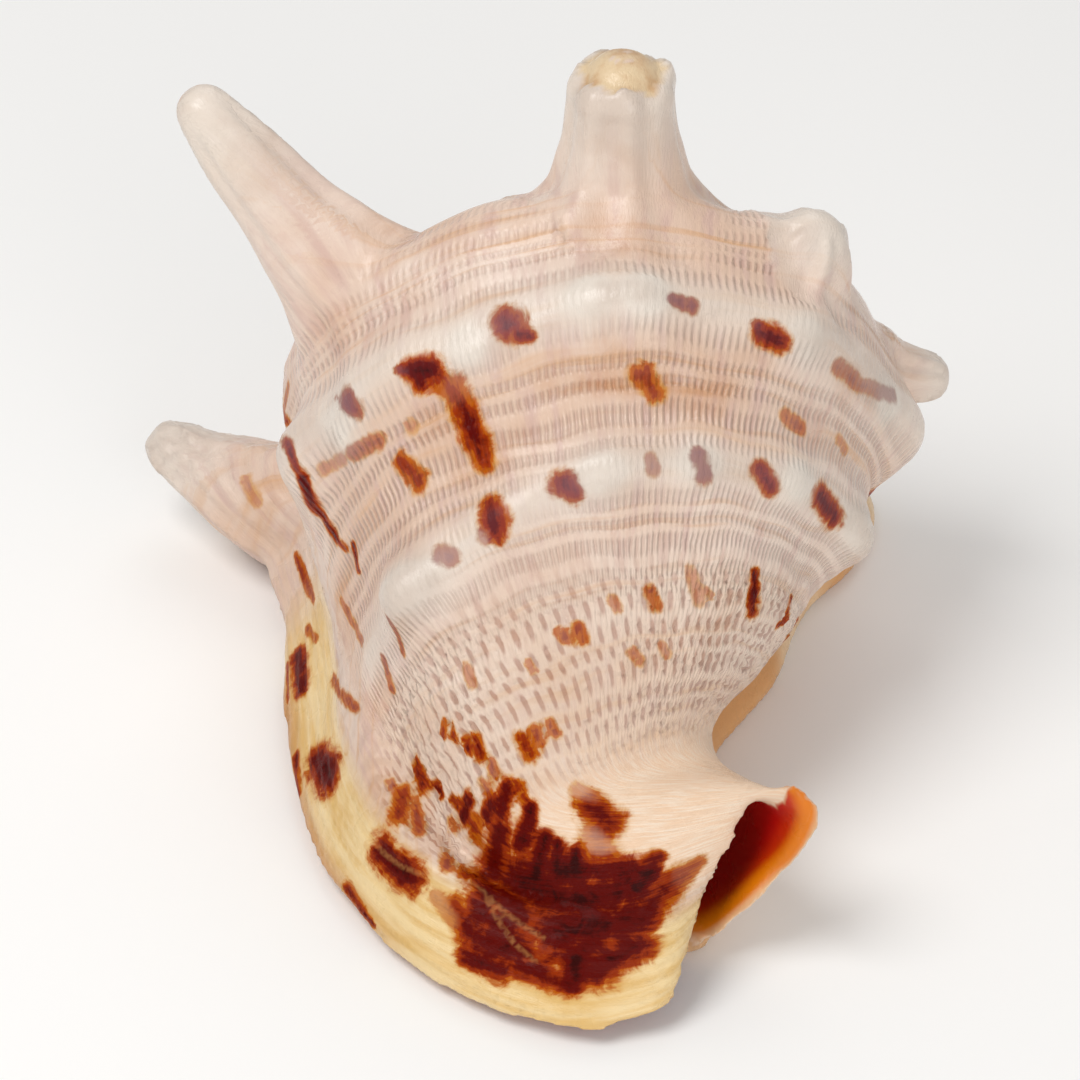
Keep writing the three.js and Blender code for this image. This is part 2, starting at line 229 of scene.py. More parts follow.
# %% The growth lines
def growth_line(psi, index):
    swell = smooth_step(psi, 0, LAST_PSI)
    radius, height = grown(BODY_ROWS.T, psi)
    rows = around(radius * (1 + LIP_SWELL * swell), psi, height)
    rim = taut_curve(CANAL_RIM, (psi - FIRST_PSI) / (LAST_PSI - FIRST_PSI))
    return np.concatenate([rows, [CANAL_THROAT[index]], [rim]])


angles = np.arange(FIRST_PSI, LAST_PSI + 1, STATION_STEP)
lines = [growth_line(psi, k) for k, psi in enumerate(angles)] + [points(LIP_GROOVE), points(LIP_EDGE)]
lines = np.array(lines)
print(len(lines), "growth lines with", lines.shape[1], "points each")

# one more row and line past each border keep the slope of the sheet there
lines = np.concatenate(
    [2 * lines[:, :1] - lines[:, 1:2], lines, 2 * lines[:, -1:] - lines[:, -2:-1]], axis=1
)
lines = np.concatenate([2 * lines[:1] - lines[1:2], lines, 2 * lines[-1:] - lines[-2:-1]], axis=0)


# %% The sheet through the growth lines
def sheet(station, row):
    """The smooth sheet of the whorl: station counts the growth lines, row counts from suture to rim."""
    station, row = np.broadcast_arrays(np.asarray(station, float), np.asarray(row, float))
    i = np.clip(np.floor(station).astype(int), 0, int(LAST_STATION) - 1)
    j = np.clip(np.floor(row).astype(int), 0, int(RIM) - 1)
    along, across = weights(station - i), weights(row - j)
    total = np.zeros(station.shape + (3,))
    for a in range(4):
        for b in range(4):
            total += (along[..., a] * across[..., b])[..., None] * lines[i + a, j + b]
    return total


def sheet_frame(station, row, step=0.02):
    """The two directions of the sheet, in millimetres for one station or row, and its normal."""
    along = (sheet(station + step, row) - sheet(station - step, row)) / (2 * step)
    across = (sheet(station, row + step) - sheet(station, row - step)) / (2 * step)
    return along, across, unit(np.cross(along, across))


# %% [markdown]
# ## Knobs and ridges
# Below the horns two rows of blunt knobs stand on low ridges, where the mantle swelled each time the
# shell paused. They could be sculpted; as bell-shaped hills at known angles they stay where the packed
# model has them.

# %% Knobs and ridges
SHOULDER, UPPER, LOWER, NODULES = 2.0, 4.45, 6.05, 7.3
# psi, row, height, half width in psi, half width in rows
SWELLINGS = [
    (84, SHOULDER, 6, 18, 1.5), (31, SHOULDER, 3.5, 12, 1.4), (57, SHOULDER, 5, 14, 1.5),
    (4, SHOULDER, 6, 15, 1.5), (-33, SHOULDER, 3, 10, 1.0), (-62, SHOULDER, -5, 14, 1.4),
    (-90, SHOULDER, 4, 10, 1.0), (-150, SHOULDER, 4, 10, 1.0),
    (80, UPPER, 6.5, 9, 0.5), (50, UPPER, 2, 10, 0.4), (4, UPPER, 4.5, 12, 0.5),
    (-36, UPPER, 2, 10, 0.4), (-86, UPPER, 6, 12, 0.6),
    (60, LOWER + 0.45, 6, 9, 0.4), (34, LOWER + 0.25, 2, 9, 0.3), (8, LOWER, 3, 13, 0.35),
    (-38, LOWER, 1.5, 9, 0.3), (-82, LOWER, 5.5, 12, 0.45),
]
# the lower two rows drift down on their way to the lip, by so many rows over so many degrees
ROW_DRIFT, DRIFT_PSI = 0.45, 60.0
# row, height, half width in rows, drift
RIDGES = [(UPPER, 2, 0.45, 0), (LOWER, 1.6, 0.35, ROW_DRIFT), (NODULES, 0.7, 0.25, ROW_DRIFT)]


def relief(station, row):
    """How far knobs and ridges stand out from the sheet."""
    psi = FIRST_PSI + station * STATION_STEP
    fade = 1 - smooth_step(station, LAST_STATION - 2, LAST_STATION - 1)
    drifted = np.clip(psi / DRIFT_PSI, 0, 1)
    height = 0
    for middle, rise, width, drift in RIDGES:
        height = height + rise * fade * bell((row - middle - drift * drifted) / width)
    for centre, middle, rise, width, depth in SWELLINGS:
        height = height + rise * bell((psi - centre) / width) * bell((row - middle) / depth)
    return height


print(len(SWELLINGS), "swellings and", len(RIDGES), "ridges")

# %% [markdown]
# ## From grids of points to solids
# Every curved part is first a grid of points, as a net. The net is closed, its doubled points are
# merged, and its faces are turned outwards. The parts overlap, and one voxel remesh later melts them
# into one skin, which also gives the soft fillets that grown shell has.

# %% A closed mesh from nets of points
made = []


def deselect_all():
    for other in bpy.context.selected_objects:
        other.select_set(False)


def make_active(obj):
    deselect_all()
    obj.select_set(True)
    bpy.context.view_layer.objects.active = obj


def to_frame(p):
    """Places in the shell's millimetres, as places in the frame."""
    return (points(p) - BOX_MIDDLE) * MM


def net_solid(name, *nets):
    """A closed mesh from nets of points whose edges meet."""
    corners, faces = [], []
    for net in nets:
        n, m = net.shape[:2]
        first = sum(len(c) for c in corners)
        corners.append(net.reshape(-1, 3))
        k = first + np.arange(n * m).reshape(n, m)
        faces.append(np.stack([k[:-1, :-1], k[1:, :-1], k[1:, 1:], k[:-1, 1:]], -1).reshape(-1, 4))
    mesh = bpy.data.meshes.new(name)
    mesh.from_pydata(to_frame(np.concatenate(corners)).tolist(), [], np.concatenate(faces).tolist())
    obj = bpy.data.objects.new(name, mesh)
    bpy.context.scene.collection.objects.link(obj)
    make_active(obj)
    bpy.ops.object.mode_set(mode="EDIT")
    bpy.ops.mesh.select_all(action="SELECT")
    bpy.ops.mesh.remove_doubles(threshold=1e-6)
    bpy.ops.mesh.normals_make_consistent(inside=False)
    bpy.ops.object.mode_set(mode="OBJECT")
    made.append(obj)
    return obj


# %% The wall of the last whorl
# the part of a station or row over which the wall rounds off at a border
EDGE_TAPER = 0.25
# the net steps evenly across, and in finer steps at its borders
BORDER_STEP = 0.05
STATION_BORDER, ROW_BORDER = (11.9, 11.96), (10.93, 10.98)
WALL_STATIONS, WALL_ROWS = 300, 200


def even_steps(border, steps, end):
    return np.concatenate([[0], np.linspace(BORDER_STEP, border[0], steps), [border[1], end]])


def whorl_wall():
    stations = even_steps(STATION_BORDER, WALL_STATIONS, LAST_STATION)
    rows = even_steps(ROW_BORDER, WALL_ROWS, RIM)
    station, row = np.meshgrid(stations, rows, indexing="ij")
    margin = np.minimum(np.minimum(station, row), np.minimum(LAST_STATION - station, RIM - row))
    body = np.sqrt(np.clip(margin / EDGE_TAPER, 0, 1))[..., None]
    place = sheet(station, row)
    normal = sheet_frame(station, row)[2]
    wall = lerp(WALL, CANAL_WALL, smooth_step(row, NECK - 1, THROAT))[..., None]
    outer = place + normal * body * relief(station, row)[..., None]
    inner = place - normal * body * wall
    return net_solid("wall", outer, inner[::-1])


whorl_wall()
print("the wall of the last whorl has", len(made[-1].data.polygons), "faces")

# %% [markdown]
# ## The turns inside
# Under the last whorl sit the older ones: they show as the low spire behind the horns, and as the
# columella in the mouth. Only the hollow of the last half turn is open. A turn is the back's own rows
# carried once round the axis, smaller by one turn of growth, so no new shape is needed.

# %% The inner whorls
SPIRE_TURNS = 4
POLE_TOP, POLE_BOTTOM = 5.0, -106.0
TURN_COLUMNS = 90
# each turn starts a little further on, so that no two seams meet
SEAM_SHIFT = 3


def inner_whorl(turns_back):
    top = grown((0, POLE_TOP), -360 * turns_back)[1]
    bottom = grown((0, POLE_BOTTOM), -360 * turns_back)[1]
    head = around(0, 0, APEX_HEIGHT if turns_back == SPIRE_TURNS else top)
    start = FIRST_PSI + SEAM_SHIFT * turns_back
    columns = []
    for theta in np.append(np.linspace(start, start + 360, TURN_COLUMNS), start):
        radius, height = grown(BODY_ROWS.T, theta - 360 * turns_back)
        columns.append(np.concatenate([[head], around(radius, theta, height), [around(0, 0, bottom)]]))
    return net_solid(f"whorl_{turns_back}", np.array(columns))


for turns in range(1, SPIRE_TURNS + 1):
    inner_whorl(turns)
print("inner turns:", [o.name for o in made[1:]])

# %% What fills the last whorl
# how far the filling stays under the sheet
CORE_INSET = 2.0
CANAL_FLOOR_HEIGHT = -102.0
# the columella's radius, as a share of the back's
COLUMELLA_SHARE = 0.45
# the angles from which the filling draws in, is the columella, swells again, and fills the turn
HOLLOW_CLOSED, HOLLOW_OPEN, HOLLOW_COLUMELLA, HOLLOW_WALL = 0.0, 24.0, 120.0, 150.0
# first and last angle and number of columns, which stand closer where the filling draws in
FILLING_COLUMNS = [(FIRST_PSI, HOLLOW_CLOSED, 60), (3, HOLLOW_OPEN, 8), (30, HOLLOW_WALL, 40)]


def filling():
    columns = []
    end_radius, end_height = grown(BODY_ROWS.T, FIRST_PSI)
    for theta in np.concatenate([np.linspace(*stretch) for stretch in FILLING_COLUMNS]):
        opened = smooth_step(theta, HOLLOW_CLOSED, HOLLOW_OPEN)
        closing = smooth_step(theta, HOLLOW_COLUMELLA, HOLLOW_WALL)
        radius, height = grown(BODY_ROWS.T, min(theta, HOLLOW_CLOSED))
        radius = lerp(lerp(radius, BODY_ROWS[:, 0] * COLUMELLA_SHARE, opened), end_radius, closing)
        height = lerp(lerp(height, BODY_ROWS[:, 1], opened), end_height, closing)
        top, bottom = around(0, 0, POLE_TOP), around(0, 0, CANAL_FLOOR_HEIGHT)
        columns.append(np.concatenate([[top], around(radius - CORE_INSET, theta, height), [bottom]]))
    columns.append(columns[0])
    return net_solid("filling", np.array(columns))


filling()
print("the filling has", len(made[-1].data.polygons), "faces")

# %% [markdown]
# ## Horns
# Each horn is a folded spout of the mantle that filled up behind itself, so it has a wide foot, ribs
# that run up it, and a blunt tip. One has lost its tip: its outer layer ends in a jagged rim round
# the paler core. They are swept along bent middle lines, as one would draw a bevelled curve by hand.

# %% The middle lines and profiles of the horns
# a profile is pairs of distance from the tip and radius
ROUND_TIP = [(0, 0), (0.6, 2.6), (2.2, 4.6), (5, 5.8)]
BROKEN_TIP = [(0, 0), (0.8, 4), (3, 6.6), (6, 7.4), (4.5, 8.6), (5.2, 9.2), (7, 9.8)]
# foot, bend and tip of the middle line, how deep the foot is for its width, and the profile
HORNS = [
    ((-52, -6, 14), (-80, 8, 13), (-99.5, 20, 21), 0.75,
     [*ROUND_TIP, (13, 7.5), (22, 10.5), (32, 14), (42, 16), (52, 12)]),
    ((-36, -16, 62), (-62, -7, 88), (-86, 4, 118), 0.6,
     [*ROUND_TIP, (18, 7.8), (32, 10), (43, 13.5), (53, 19), (61, 23), (72, 18)]),
    ((-3, -16, 78), (-3, -13, 105), (-3, -11, 136), 0.55,
     [*BROKEN_TIP, (18, 10.8), (27, 13.5), (34, 18.5), (42, 27), (54, 30)]),
    ((27, -16, 82), (32, -17, 93), (36, -17, 103), 0.8,
     [(0, 0), (0.7, 3.4), (3, 6), (8, 9), (18, 14)]),
    ((40, 0, 54), (52, 0, 52), (64, 1, 50), 0.8,
     [(0, 0), (0.6, 2.4), (2, 4.2), (8, 5.6), (14, 8), (22, 11)]),
]
BROKEN = 2
# the rings of the broken horn that make its rim
JAG_RINGS = {4, 5}


def bent_line(foot, bend, tip, t):
    t = np.asarray(t, float)[..., None]
    return (1 - t) ** 2 * points(foot) + 2 * t * (1 - t) * points(bend) + t**2 * points(tip)


def even_share(foot, bend, tip, share):
    """The curve's own value for a share of its length, and that length."""
    t = np.linspace(0, 1, 400)
    steps = np.linalg.norm(np.diff(bent_line(foot, bend, tip, t), axis=0), axis=1)
    run = np.concatenate([[0], np.cumsum(steps)])
    return np.interp(np.asarray(share) * run[-1], run, t), run[-1]


def tangent_of(foot, bend, tip, t):
    t = np.asarray(t, float)[..., None]
    return unit(2 * (1 - t) * (points(bend) - points(foot)) + 2 * t * (points(tip) - points(bend)))


def jag(angle):
    """How far the broken rim rises and falls, in millimetres, at an angle round it."""
    return 1.3 * np.sin(3 * angle + 0.6) + 0.9 * np.sin(7 * angle) + 0.5 * np.sin(13 * angle + 2)


# %% The horns
HORN_CORNERS = 61
# up to the first share of its length a horn is flat, and from the second on it is round
FLAT_SHARE, ROUND_SHARE = 0.1, 0.7


def horn(index):
    foot, bend, tip, squash, profile = HORNS[index]
    length = even_share(foot, bend, tip, 1)[1]
    side = unit(np.cross(tangent_of(foot, bend, tip, 0.5), axis))
    angle = np.linspace(0, 2 * math.pi, HORN_CORNERS)
    rings = []
    for k, (left, radius) in enumerate(profile):
        rise = jag(angle) if index == BROKEN and k in JAG_RINGS else 0 * angle
        share = np.clip(1 - (left + rise) / length, 0, 1)
        t = even_share(foot, bend, tip, share)[0]
        tangent = tangent_of(foot, bend, tip, t)
        wide = unit(side - (tangent @ side)[:, None] * tangent)
        deep = np.cross(tangent, wide)
        depth = radius * lerp(squash, 1, smooth_step(share, FLAT_SHARE, ROUND_SHARE))
        ring = bent_line(foot, bend, tip, t) + (radius * np.cos(angle))[:, None] * wide
        rings.append(ring + (depth * np.sin(angle))[:, None] * deep)
    rings.append(np.repeat([points(foot)], len(angle), axis=0))
    return net_solid(f"horn_{index + 1}", np.array(rings))


for index in range(len(HORNS)):
    horn(index)
print(len(HORNS), "horns")

# %% [markdown]
# ## Shield and lip
# Below, the shell is glazed over with a thick flat shield, and the outer lip rolls inwards to a
# cushion with teeth on it. The shield could be a disc pushed into shape; its outline drawn once and
# stacked at shares of its size gives the rounded edge at the same time.

# %% The shield
SHIELD_OUTLINE = [
    (10, -114), (17, -100), (18, -72), (16, -60), (29, -37), (36, -16), (48, 2), (52, 20), (42, 36),
    (16, 44), (-14, 42), (-40, 32), (-44, 14), (-33, 4), (-31, -20), (-27, -48), (-18, -74), (-6, -98),
]
SHIELD_CENTRE = np.array([0.0, -20.0])
# share of the outline, and height
SHIELD_PROFILE = [
    (0, 0), (0.96, 0), (0.985, 0.5), (1, 1.6), (0.997, 2.8),
    (0.985, 3.8), (0.9, 6), (0.78, 10), (0.66, 18), (0, 24),
]
SHIELD_CORNERS = 241


def shield_edge(corners):
    outline = [(x, y, 0) for x, y in SHIELD_OUTLINE]
    return taut_curve(outline, np.linspace(0, 1, corners), closed=True)[:, :2]


def shield():
    edge = shield_edge(SHIELD_CORNERS)
    rings = []
    for share, height in SHIELD_PROFILE:
        flat = lerp(SHIELD_CENTRE, edge, share)
        rings.append(np.column_stack([flat, np.full(len(flat), height)]))
    return net_solid("shield", np.array(rings))


shield()
print("the shield has", len(made[-1].data.polygons), "faces")

# %% The roll of the lip
LIP_ROLL = [
    (-34, 22, 9), (-54, 8, 8), (-58, -18, 6), (-57, -45, 5),
    (-53, -70, 4.5), (-42, -94, 4.5), (-25, -112, 4.5), (-6, -120, 5),
]
ROLL_WIDTH, ROLL_HEIGHT = 11.0, 5.5
# the share of its length over which each end of the roll rounds off
ROLL_END = 0.06
ROLL_CORNERS = 33


def along_line(given, share):
    """Places and directions at shares of the length of a smooth curve."""
    t = np.linspace(0, 1, 600)
    track = taut_curve(given, t)
    run = np.concatenate([[0], np.cumsum(np.linalg.norm(np.diff(track, axis=0), axis=1))])
    at = np.interp(np.asarray(share, float) * run[-1], run, t)
    step = 1e-3
    direction = taut_curve(given, np.clip(at + step, 0, 1)) - taut_curve(given, np.clip(at - step, 0, 1))
    return taut_curve(given, at), unit(direction)


def to_the_left(direction):
    """The level direction to the left of each direction."""
    return unit(np.column_stack([-direction[:, 1], direction[:, 0], np.zeros(len(direction))]))


def lip_roll():
    first_end, last_end = [0, 0.01, 0.03, ROLL_END], [0.94, 0.97, 0.99, 1]
    share = np.concatenate([first_end, np.linspace(0.08, 0.92, 80), last_end])
    place, direction = along_line(LIP_ROLL, share)
    size = np.sqrt(np.clip(np.minimum(share, 1 - share) / ROLL_END, 0, 1))
    across = to_the_left(direction)
    rings = []
    for angle in np.linspace(0, 2 * math.pi, ROLL_CORNERS):
        out = place - (ROLL_WIDTH * size * math.cos(angle))[:, None] * across
        rings.append(out + (ROLL_HEIGHT * size * math.sin(angle))[:, None] * np.array([0, 0, 1.0]))
    return net_solid("lip_roll", np.array(rings))


lip_roll()
print("the roll of the lip has", len(made[-1].data.polygons), "faces")

# %% [markdown]
# ## Teeth, folds and old knobs
# The teeth on the lip are alike, and so are the folds of the shield and the knobs on the older turns,
# which differ only in size. So a ball is drawn out to shape once for each kind and copied along its
# line.


# %% A ball drawn out, and its copies
def swelling_master(name, size):
    """A ball drawn out to the half sizes of one tooth, fold or knob."""
    deselect_all()
    bpy.ops.mesh.primitive_uv_sphere_add(segments=20, ring_count=12, radius=1, location=(0, 0, 0))
    ball = bpy.context.object
    ball.name = name
    bpy.ops.object.mode_set(mode="EDIT")
    bpy.ops.transform.resize(value=tuple(s * MM for s in size))
    bpy.ops.object.mode_set(mode="OBJECT")
    return ball


def set_copies(master, places, turns):
    for place, turn in zip(places, turns):
        copy = master.copy()
        copy.data = master.data.copy()
        bpy.context.scene.collection.objects.link(copy)
        copy.location = to_frame(place)
        copy.rotation_euler = (0, 0, turn)
        make_active(copy)
        bpy.ops.object.transform_apply(location=True, rotation=True, scale=True)
        made.append(copy)
    bpy.data.objects.remove(master)


# %% Teeth, folds and old knobs
TEETH, TOOTH_SIZE, TOOTH_SINK = 11, (5, 1.9, 3), 1
place, direction = along_line(LIP_ROLL, np.linspace(0.2, 0.9, TEETH))
inward = to_the_left(direction)
turns = np.arctan2(inward[:, 1], inward[:, 0])
set_copies(swelling_master("tooth", TOOTH_SIZE), place + (ROLL_WIDTH - TOOTH_SINK) * inward, turns)

# the folds lie along the last five points of the shield's outline, beside the mouth
FOLDS, FOLD_SIZE, FOLD_HEIGHT, FOLD_TURN = 9, (5, 1.4, 2.6), 5.0, -0.25
fold_line = [(x, y, FOLD_HEIGHT) for x, y in SHIELD_OUTLINE[-5:]]
place = along_line(fold_line, np.linspace(0.08, 0.92, FOLDS))[0]
set_copies(swelling_master("fold", FOLD_SIZE), place, [FOLD_TURN] * FOLDS)

# the shoulder of the turn before carries small knobs, each a little larger than the last
OLD_KNOB_STEP, OLD_KNOB_SIZE, OLD_KNOB_ROW = 42.0, 3.4, BODY_ROWS[2]
old_psi = np.arange(-185, 61, OLD_KNOB_STEP)
radius, height = grown(OLD_KNOB_ROW, old_psi - 360)
for psi, place in zip(old_psi, around(radius, old_psi, height)):
    size = OLD_KNOB_SIZE * float(growth(psi))
    set_copies(swelling_master("old_knob", (size, size, size)), [place], [0])
print(len(made), "overlapping solids")

# %% [markdown]
# ## One skin
# All of it grew as one piece, so the solids are joined and remeshed. The voxels are a little over a
# millimetre, fine enough for the teeth and coarse enough to stay a light mesh, and a few rounds of
# smoothing take the steps off, as glaze does on the real shell.

# %% Join, remesh and smooth
VOXEL = 1.2 * MM
SMOOTH_ROUNDS = 6
SMOOTH_FACTOR = 0.5


def apply_modifier(obj, kind, **settings):
    make_active(obj)
    modifier = obj.modifiers.new(kind.lower(), kind)
    for key, value in settings.items():
        setattr(modifier, key, value)
    bpy.ops.object.modifier_apply(modifier=modifier.name)


deselect_all()
for obj in made:
    obj.select_set(True)
bpy.context.view_layer.objects.active = made[0]
bpy.ops.object.join()
shell = bpy.context.object
shell.name = "conch_shell"
apply_modifier(shell, "REMESH", mode="VOXEL", voxel_size=VOXEL, adaptivity=0.0)
apply_modifier(shell, "SMOOTH", factor=SMOOTH_FACTOR, iterations=SMOOTH_ROUNDS)
print("one skin with", len(shell.data.polygons), "faces")

# %% [markdown]
# ## No loose crumbs
# A narrow pocket between two parts can leave a crumb of its own inside the skin. It would be a second
# piece of the shape. It could be picked by eye; selecting all that hangs together with the
# highest point and deleting the rest finds it wherever it is.

# %% Delete what doesn't hang together with the top
top = max(shell.data.vertices, key=lambda vertex: vertex.co.z).index
bpy.ops.object.mode_set(mode="EDIT")
bpy.ops.mesh.select_all(action="DESELECT")
bpy.ops.object.mode_set(mode="OBJECT")
shell.data.vertices[top].select = True
bpy.ops.object.mode_set(mode="EDIT")
bpy.ops.mesh.select_linked()
bpy.ops.mesh.select_all(action="INVERT")
bpy.ops.mesh.delete(type="VERT")
bpy.ops.object.mode_set(mode="OBJECT")
print("the skin keeps", len(shell.data.polygons), "faces")

# %% [markdown]
# ## Thin edges
# The edges of lip and canal are thinner than the voxels like, so steps show on them. They could be
# smoothed by a brush; a vertex group that holds only the points near an edge, with a soft border, lets
# the same modifier give them more rounds and leaves the rest crisp.

# %% Smooth the thin edges
EDGE_ROUNDS = 24
# within the first distance of an edge, in millimetres, a point is smoothed fully; past the second, not
EDGE_FULL, EDGE_NONE = 2.5, 5


def pin_tree(pins):
    """A search tree that finds the nearest of many places."""
    tree = KDTree(len(pins))
    for k, pin in enumerate(pins.tolist()):
        tree.insert(pin, k)
    tree.balance()
    return tree


rim_pins = sheet(*np.meshgrid(np.linspace(0, LAST_STATION, 400), [RIM], indexing="ij")).reshape(-1, 3)
lip_pins = sheet(*np.meshgrid([LAST_STATION], np.linspace(0, RIM, 300), indexing="ij")).reshape(-1, 3)
edge_tree = pin_tree(np.concatenate([rim_pins, lip_pins]))
edge_group = shell.vertex_groups.new(name="thin_edges")
for vertex in shell.data.vertices:
    away = edge_tree.find(points(vertex.co) / MM + BOX_MIDDLE)[2]
    if away < EDGE_NONE:
        share = float(1 - smooth_step(away, EDGE_FULL, EDGE_NONE))
        edge_group.add([vertex.index], share, "REPLACE")
apply_modifier(shell, "SMOOTH", factor=SMOOTH_FACTOR, iterations=EDGE_ROUNDS, vertex_group="thin_edges")
print("smoothed along", len(rim_pins) + len(lip_pins), "places on the edges")

# %% [markdown]
# ## Where each point grew
# Cords, threads and spots follow the growth of the shell, not the room it lies in. So every point of
# the skin is given its place on the whorl: the growth line and the row it belongs to. It is found as
# a tailor finds a place on a pattern: the nearest pin first, then a few small corrections.

# %% The nearest pin to each point
mesh = shell.data
count = len(mesh.vertices)


def read_points(attribute):
    values = np.empty(count * 3)
    mesh.vertices.foreach_get(attribute, values)
    return values.reshape(-1, 3)


skin = read_points("co") / MM + BOX_MIDDLE
outward = read_points("normal")
PIN_STEP = 0.06
pin_station, pin_row = np.meshgrid(
    np.arange(0, LAST_STATION + PIN_STEP / 2, PIN_STEP), np.arange(0, RIM, PIN_STEP), indexing="ij"
)
pins = pin_tree(sheet(pin_station, pin_row).reshape(-1, 3))
nearest = np.array([pins.find(p)[1] for p in skin.tolist()])
station, row = pin_station.reshape(-1)[nearest], pin_row.reshape(-1)[nearest]
print("points on the skin:", count)

# %% The corrections
CORRECTIONS, LONGEST_STEP = 4, 0.1
for _ in range(CORRECTIONS):
    along, across = sheet_frame(station, row)[:2]
    miss = skin - sheet(station, row)
    # the two steps along and across that cover the miss best, by least squares
    along_along, along_across = (along**2).sum(1), (along * across).sum(1)
    across_across = (across**2).sum(1)
    miss_along, miss_across = (miss * along).sum(1), (miss * across).sum(1)
    scale = np.maximum(along_along * across_across - along_across * along_across, 1e-6)
    station_step = (miss_along * across_across - miss_across * along_across) / scale
    row_step = (miss_across * along_along - miss_along * along_across) / scale
    station = np.clip(station + np.clip(station_step, -LONGEST_STEP, LONGEST_STEP), 0, LAST_STATION)
    row = np.clip(row + np.clip(row_step, -LONGEST_STEP, LONGEST_STEP), 0, RIM)

normal = sheet_frame(station, row)[2]
# how far a point stands out from the sheet, and how far past its borders
rise = ((skin - sheet(station, row)) * normal).sum(1)
gap = np.linalg.norm(skin - sheet(station, row) - rise[:, None] * normal, axis=1)
psi = FIRST_PSI + station * STATION_STEP
# one where the skin faces the way the sheet does, minus one where it faces the hollow
facing = (outward * normal).sum(1)
print("half of the skin lies within", round(float(np.median(np.abs(rise))), 2), "mm of the sheet")

# %% What is shield, outside and inside
# the shield is known by its outline and by how high it stands at each share of it
outline = shield_edge(3 * (SHIELD_CORNERS - 1) + 1) - SHIELD_CENTRE
heading = np.arctan2(outline[:, 1], outline[:, 0])
order = np.argsort(heading)
flat = skin[:, :2] - SHIELD_CENTRE
own_heading = np.arctan2(flat[:, 1], flat[:, 0])
edge_distance = np.linalg.norm(outline, axis=1)[order]
edge_distance = np.interp(own_heading, heading[order], edge_distance, period=2 * math.pi)
shield_share = np.linalg.norm(flat, axis=1) / edge_distance
SHIELD_SHARES, SHIELD_TOPS = [0, 0.66, 0.78, 0.9, 0.985, 1.02], [24, 18, 10, 6, 3.8, 0]
SHIELD_REACH = 1.03
above_shield = skin[:, 2] - np.interp(shield_share, SHIELD_SHARES, SHIELD_TOPS)
shielded = (1 - smooth_step(above_shield, 0.3, 1.6)) * (shield_share < SHIELD_REACH)

outside = smooth_step(rise, -2.6, -1.2) * (1 - smooth_step(gap, 4, 9)) * (1 - shielded)
inside = smooth_step(-rise, 1.2, 2.6) * (1 - smooth_step(gap, 6, 12)) * (1 - shielded)
inside = inside * smooth_step(-facing, -0.3, 0.2)
print("points on the outside of the last whorl:", int((outside > 0.5).sum()))

# %% How far out on a horn each point lies
# a point belongs to a horn up to this many times its radius, and so many millimetres more
HORN_REACH, HORN_MARGIN = 1.25, 2
horn_share = np.zeros(count)
horn_angle = np.zeros(count)
for index, (foot, bend, tip, squash, profile) in enumerate(HORNS):
    t = np.linspace(0, 1, 60)
    track = bent_line(foot, bend, tip, t)
    spread = np.linalg.norm(skin[:, None, :] - track[None, :, :], axis=2)
    best = spread.argmin(1)
    left = even_share(foot, bend, tip, 1)[1] * (1 - t[best])
    radius = np.interp(left, [a for a, _ in profile], [b for _, b in profile])
    share = np.where(spread.min(1) < radius * HORN_REACH + HORN_MARGIN, t[best], 0)
    side = unit(np.cross(tangent_of(foot, bend, tip, 0.5), axis))
    deep = unit(np.cross(tangent_of(foot, bend, tip, 0.5), side))
    away = skin - track[best]
    angle = np.arctan2(away @ deep, away @ side)
    horn_angle = np.where(share > horn_share, angle, horn_angle)
    horn_share = np.maximum(horn_share, share)
    if index == BROKEN:
        # the core is what lies within a jagged line round the middle, near the tip
        broken = share
        rim_line = 0.8 * np.sin(7 * angle + 1) + 0.6 * np.sin(13 * angle)
        core = (share > 0.8) * (1 - smooth_step(spread.min(1) + 0.5 * rim_line, 7.4, 8.0))
        core = core * (1 - smooth_step(left + rim_line, 6.2, 7.2))
print("points on the horns:", int((horn_share > 0.4).sum()))

# %% [markdown]
# ## Places picked in the photograph
# Knobs, healed breaks and spots are placed where the photograph shows them. Each place is
# kept as its two pixel coordinates, and a ray from the camera through that pixel finds it on the skin.
# That stays true when the skin changes, and it needs no numbers worked out somewhere else.

# %% The camera's place and the ray through a pixel
EYE = Vector((-0.00013, -0.66645, 0.6062))
TARGET = Vector((-0.00013, 0.02295, 0.0277))
VIEW = (TARGET - EYE).to_track_quat("-Z", "Y")
SENSOR, LENS = 36, 150
PHOTO_SIDE = 1080
PIXELS_PER_MM = 5.0
bare_skin = BVHTree.FromPolygons(
    [v.co for v in mesh.vertices], [tuple(p.vertices) for p in mesh.polygons]
)


def on_photo(x, y):
    """The place on the skin, in the shell's millimetres, that the photograph shows at a pixel."""
    across, down = ((c / PHOTO_SIDE - 0.5) * SENSOR / LENS for c in (x, y))
    hit = bare_skin.ray_cast(EYE, VIEW @ Vector((across, -down, -1)))[0]
    return points(hit) / MM + BOX_MIDDLE


def nearness(start, end, radius_start, radius_end):
    """One on the line between two places, nothing at the radius round it, below nothing outside."""
    a, b = points(start), points(end)
    run = b - a
    t = np.clip(((skin - a) @ run) / max(run @ run, 1e-9), 0, 1)
    away = np.linalg.norm(skin - a - t[:, None] * run, axis=1)
    return 1 - away / lerp(radius_start, radius_end, t)


middle_place = on_photo(PHOTO_SIDE / 2, PHOTO_SIDE / 2)
print("the photograph's middle shows", [round(float(v), 1) for v in middle_place], "on the skin")
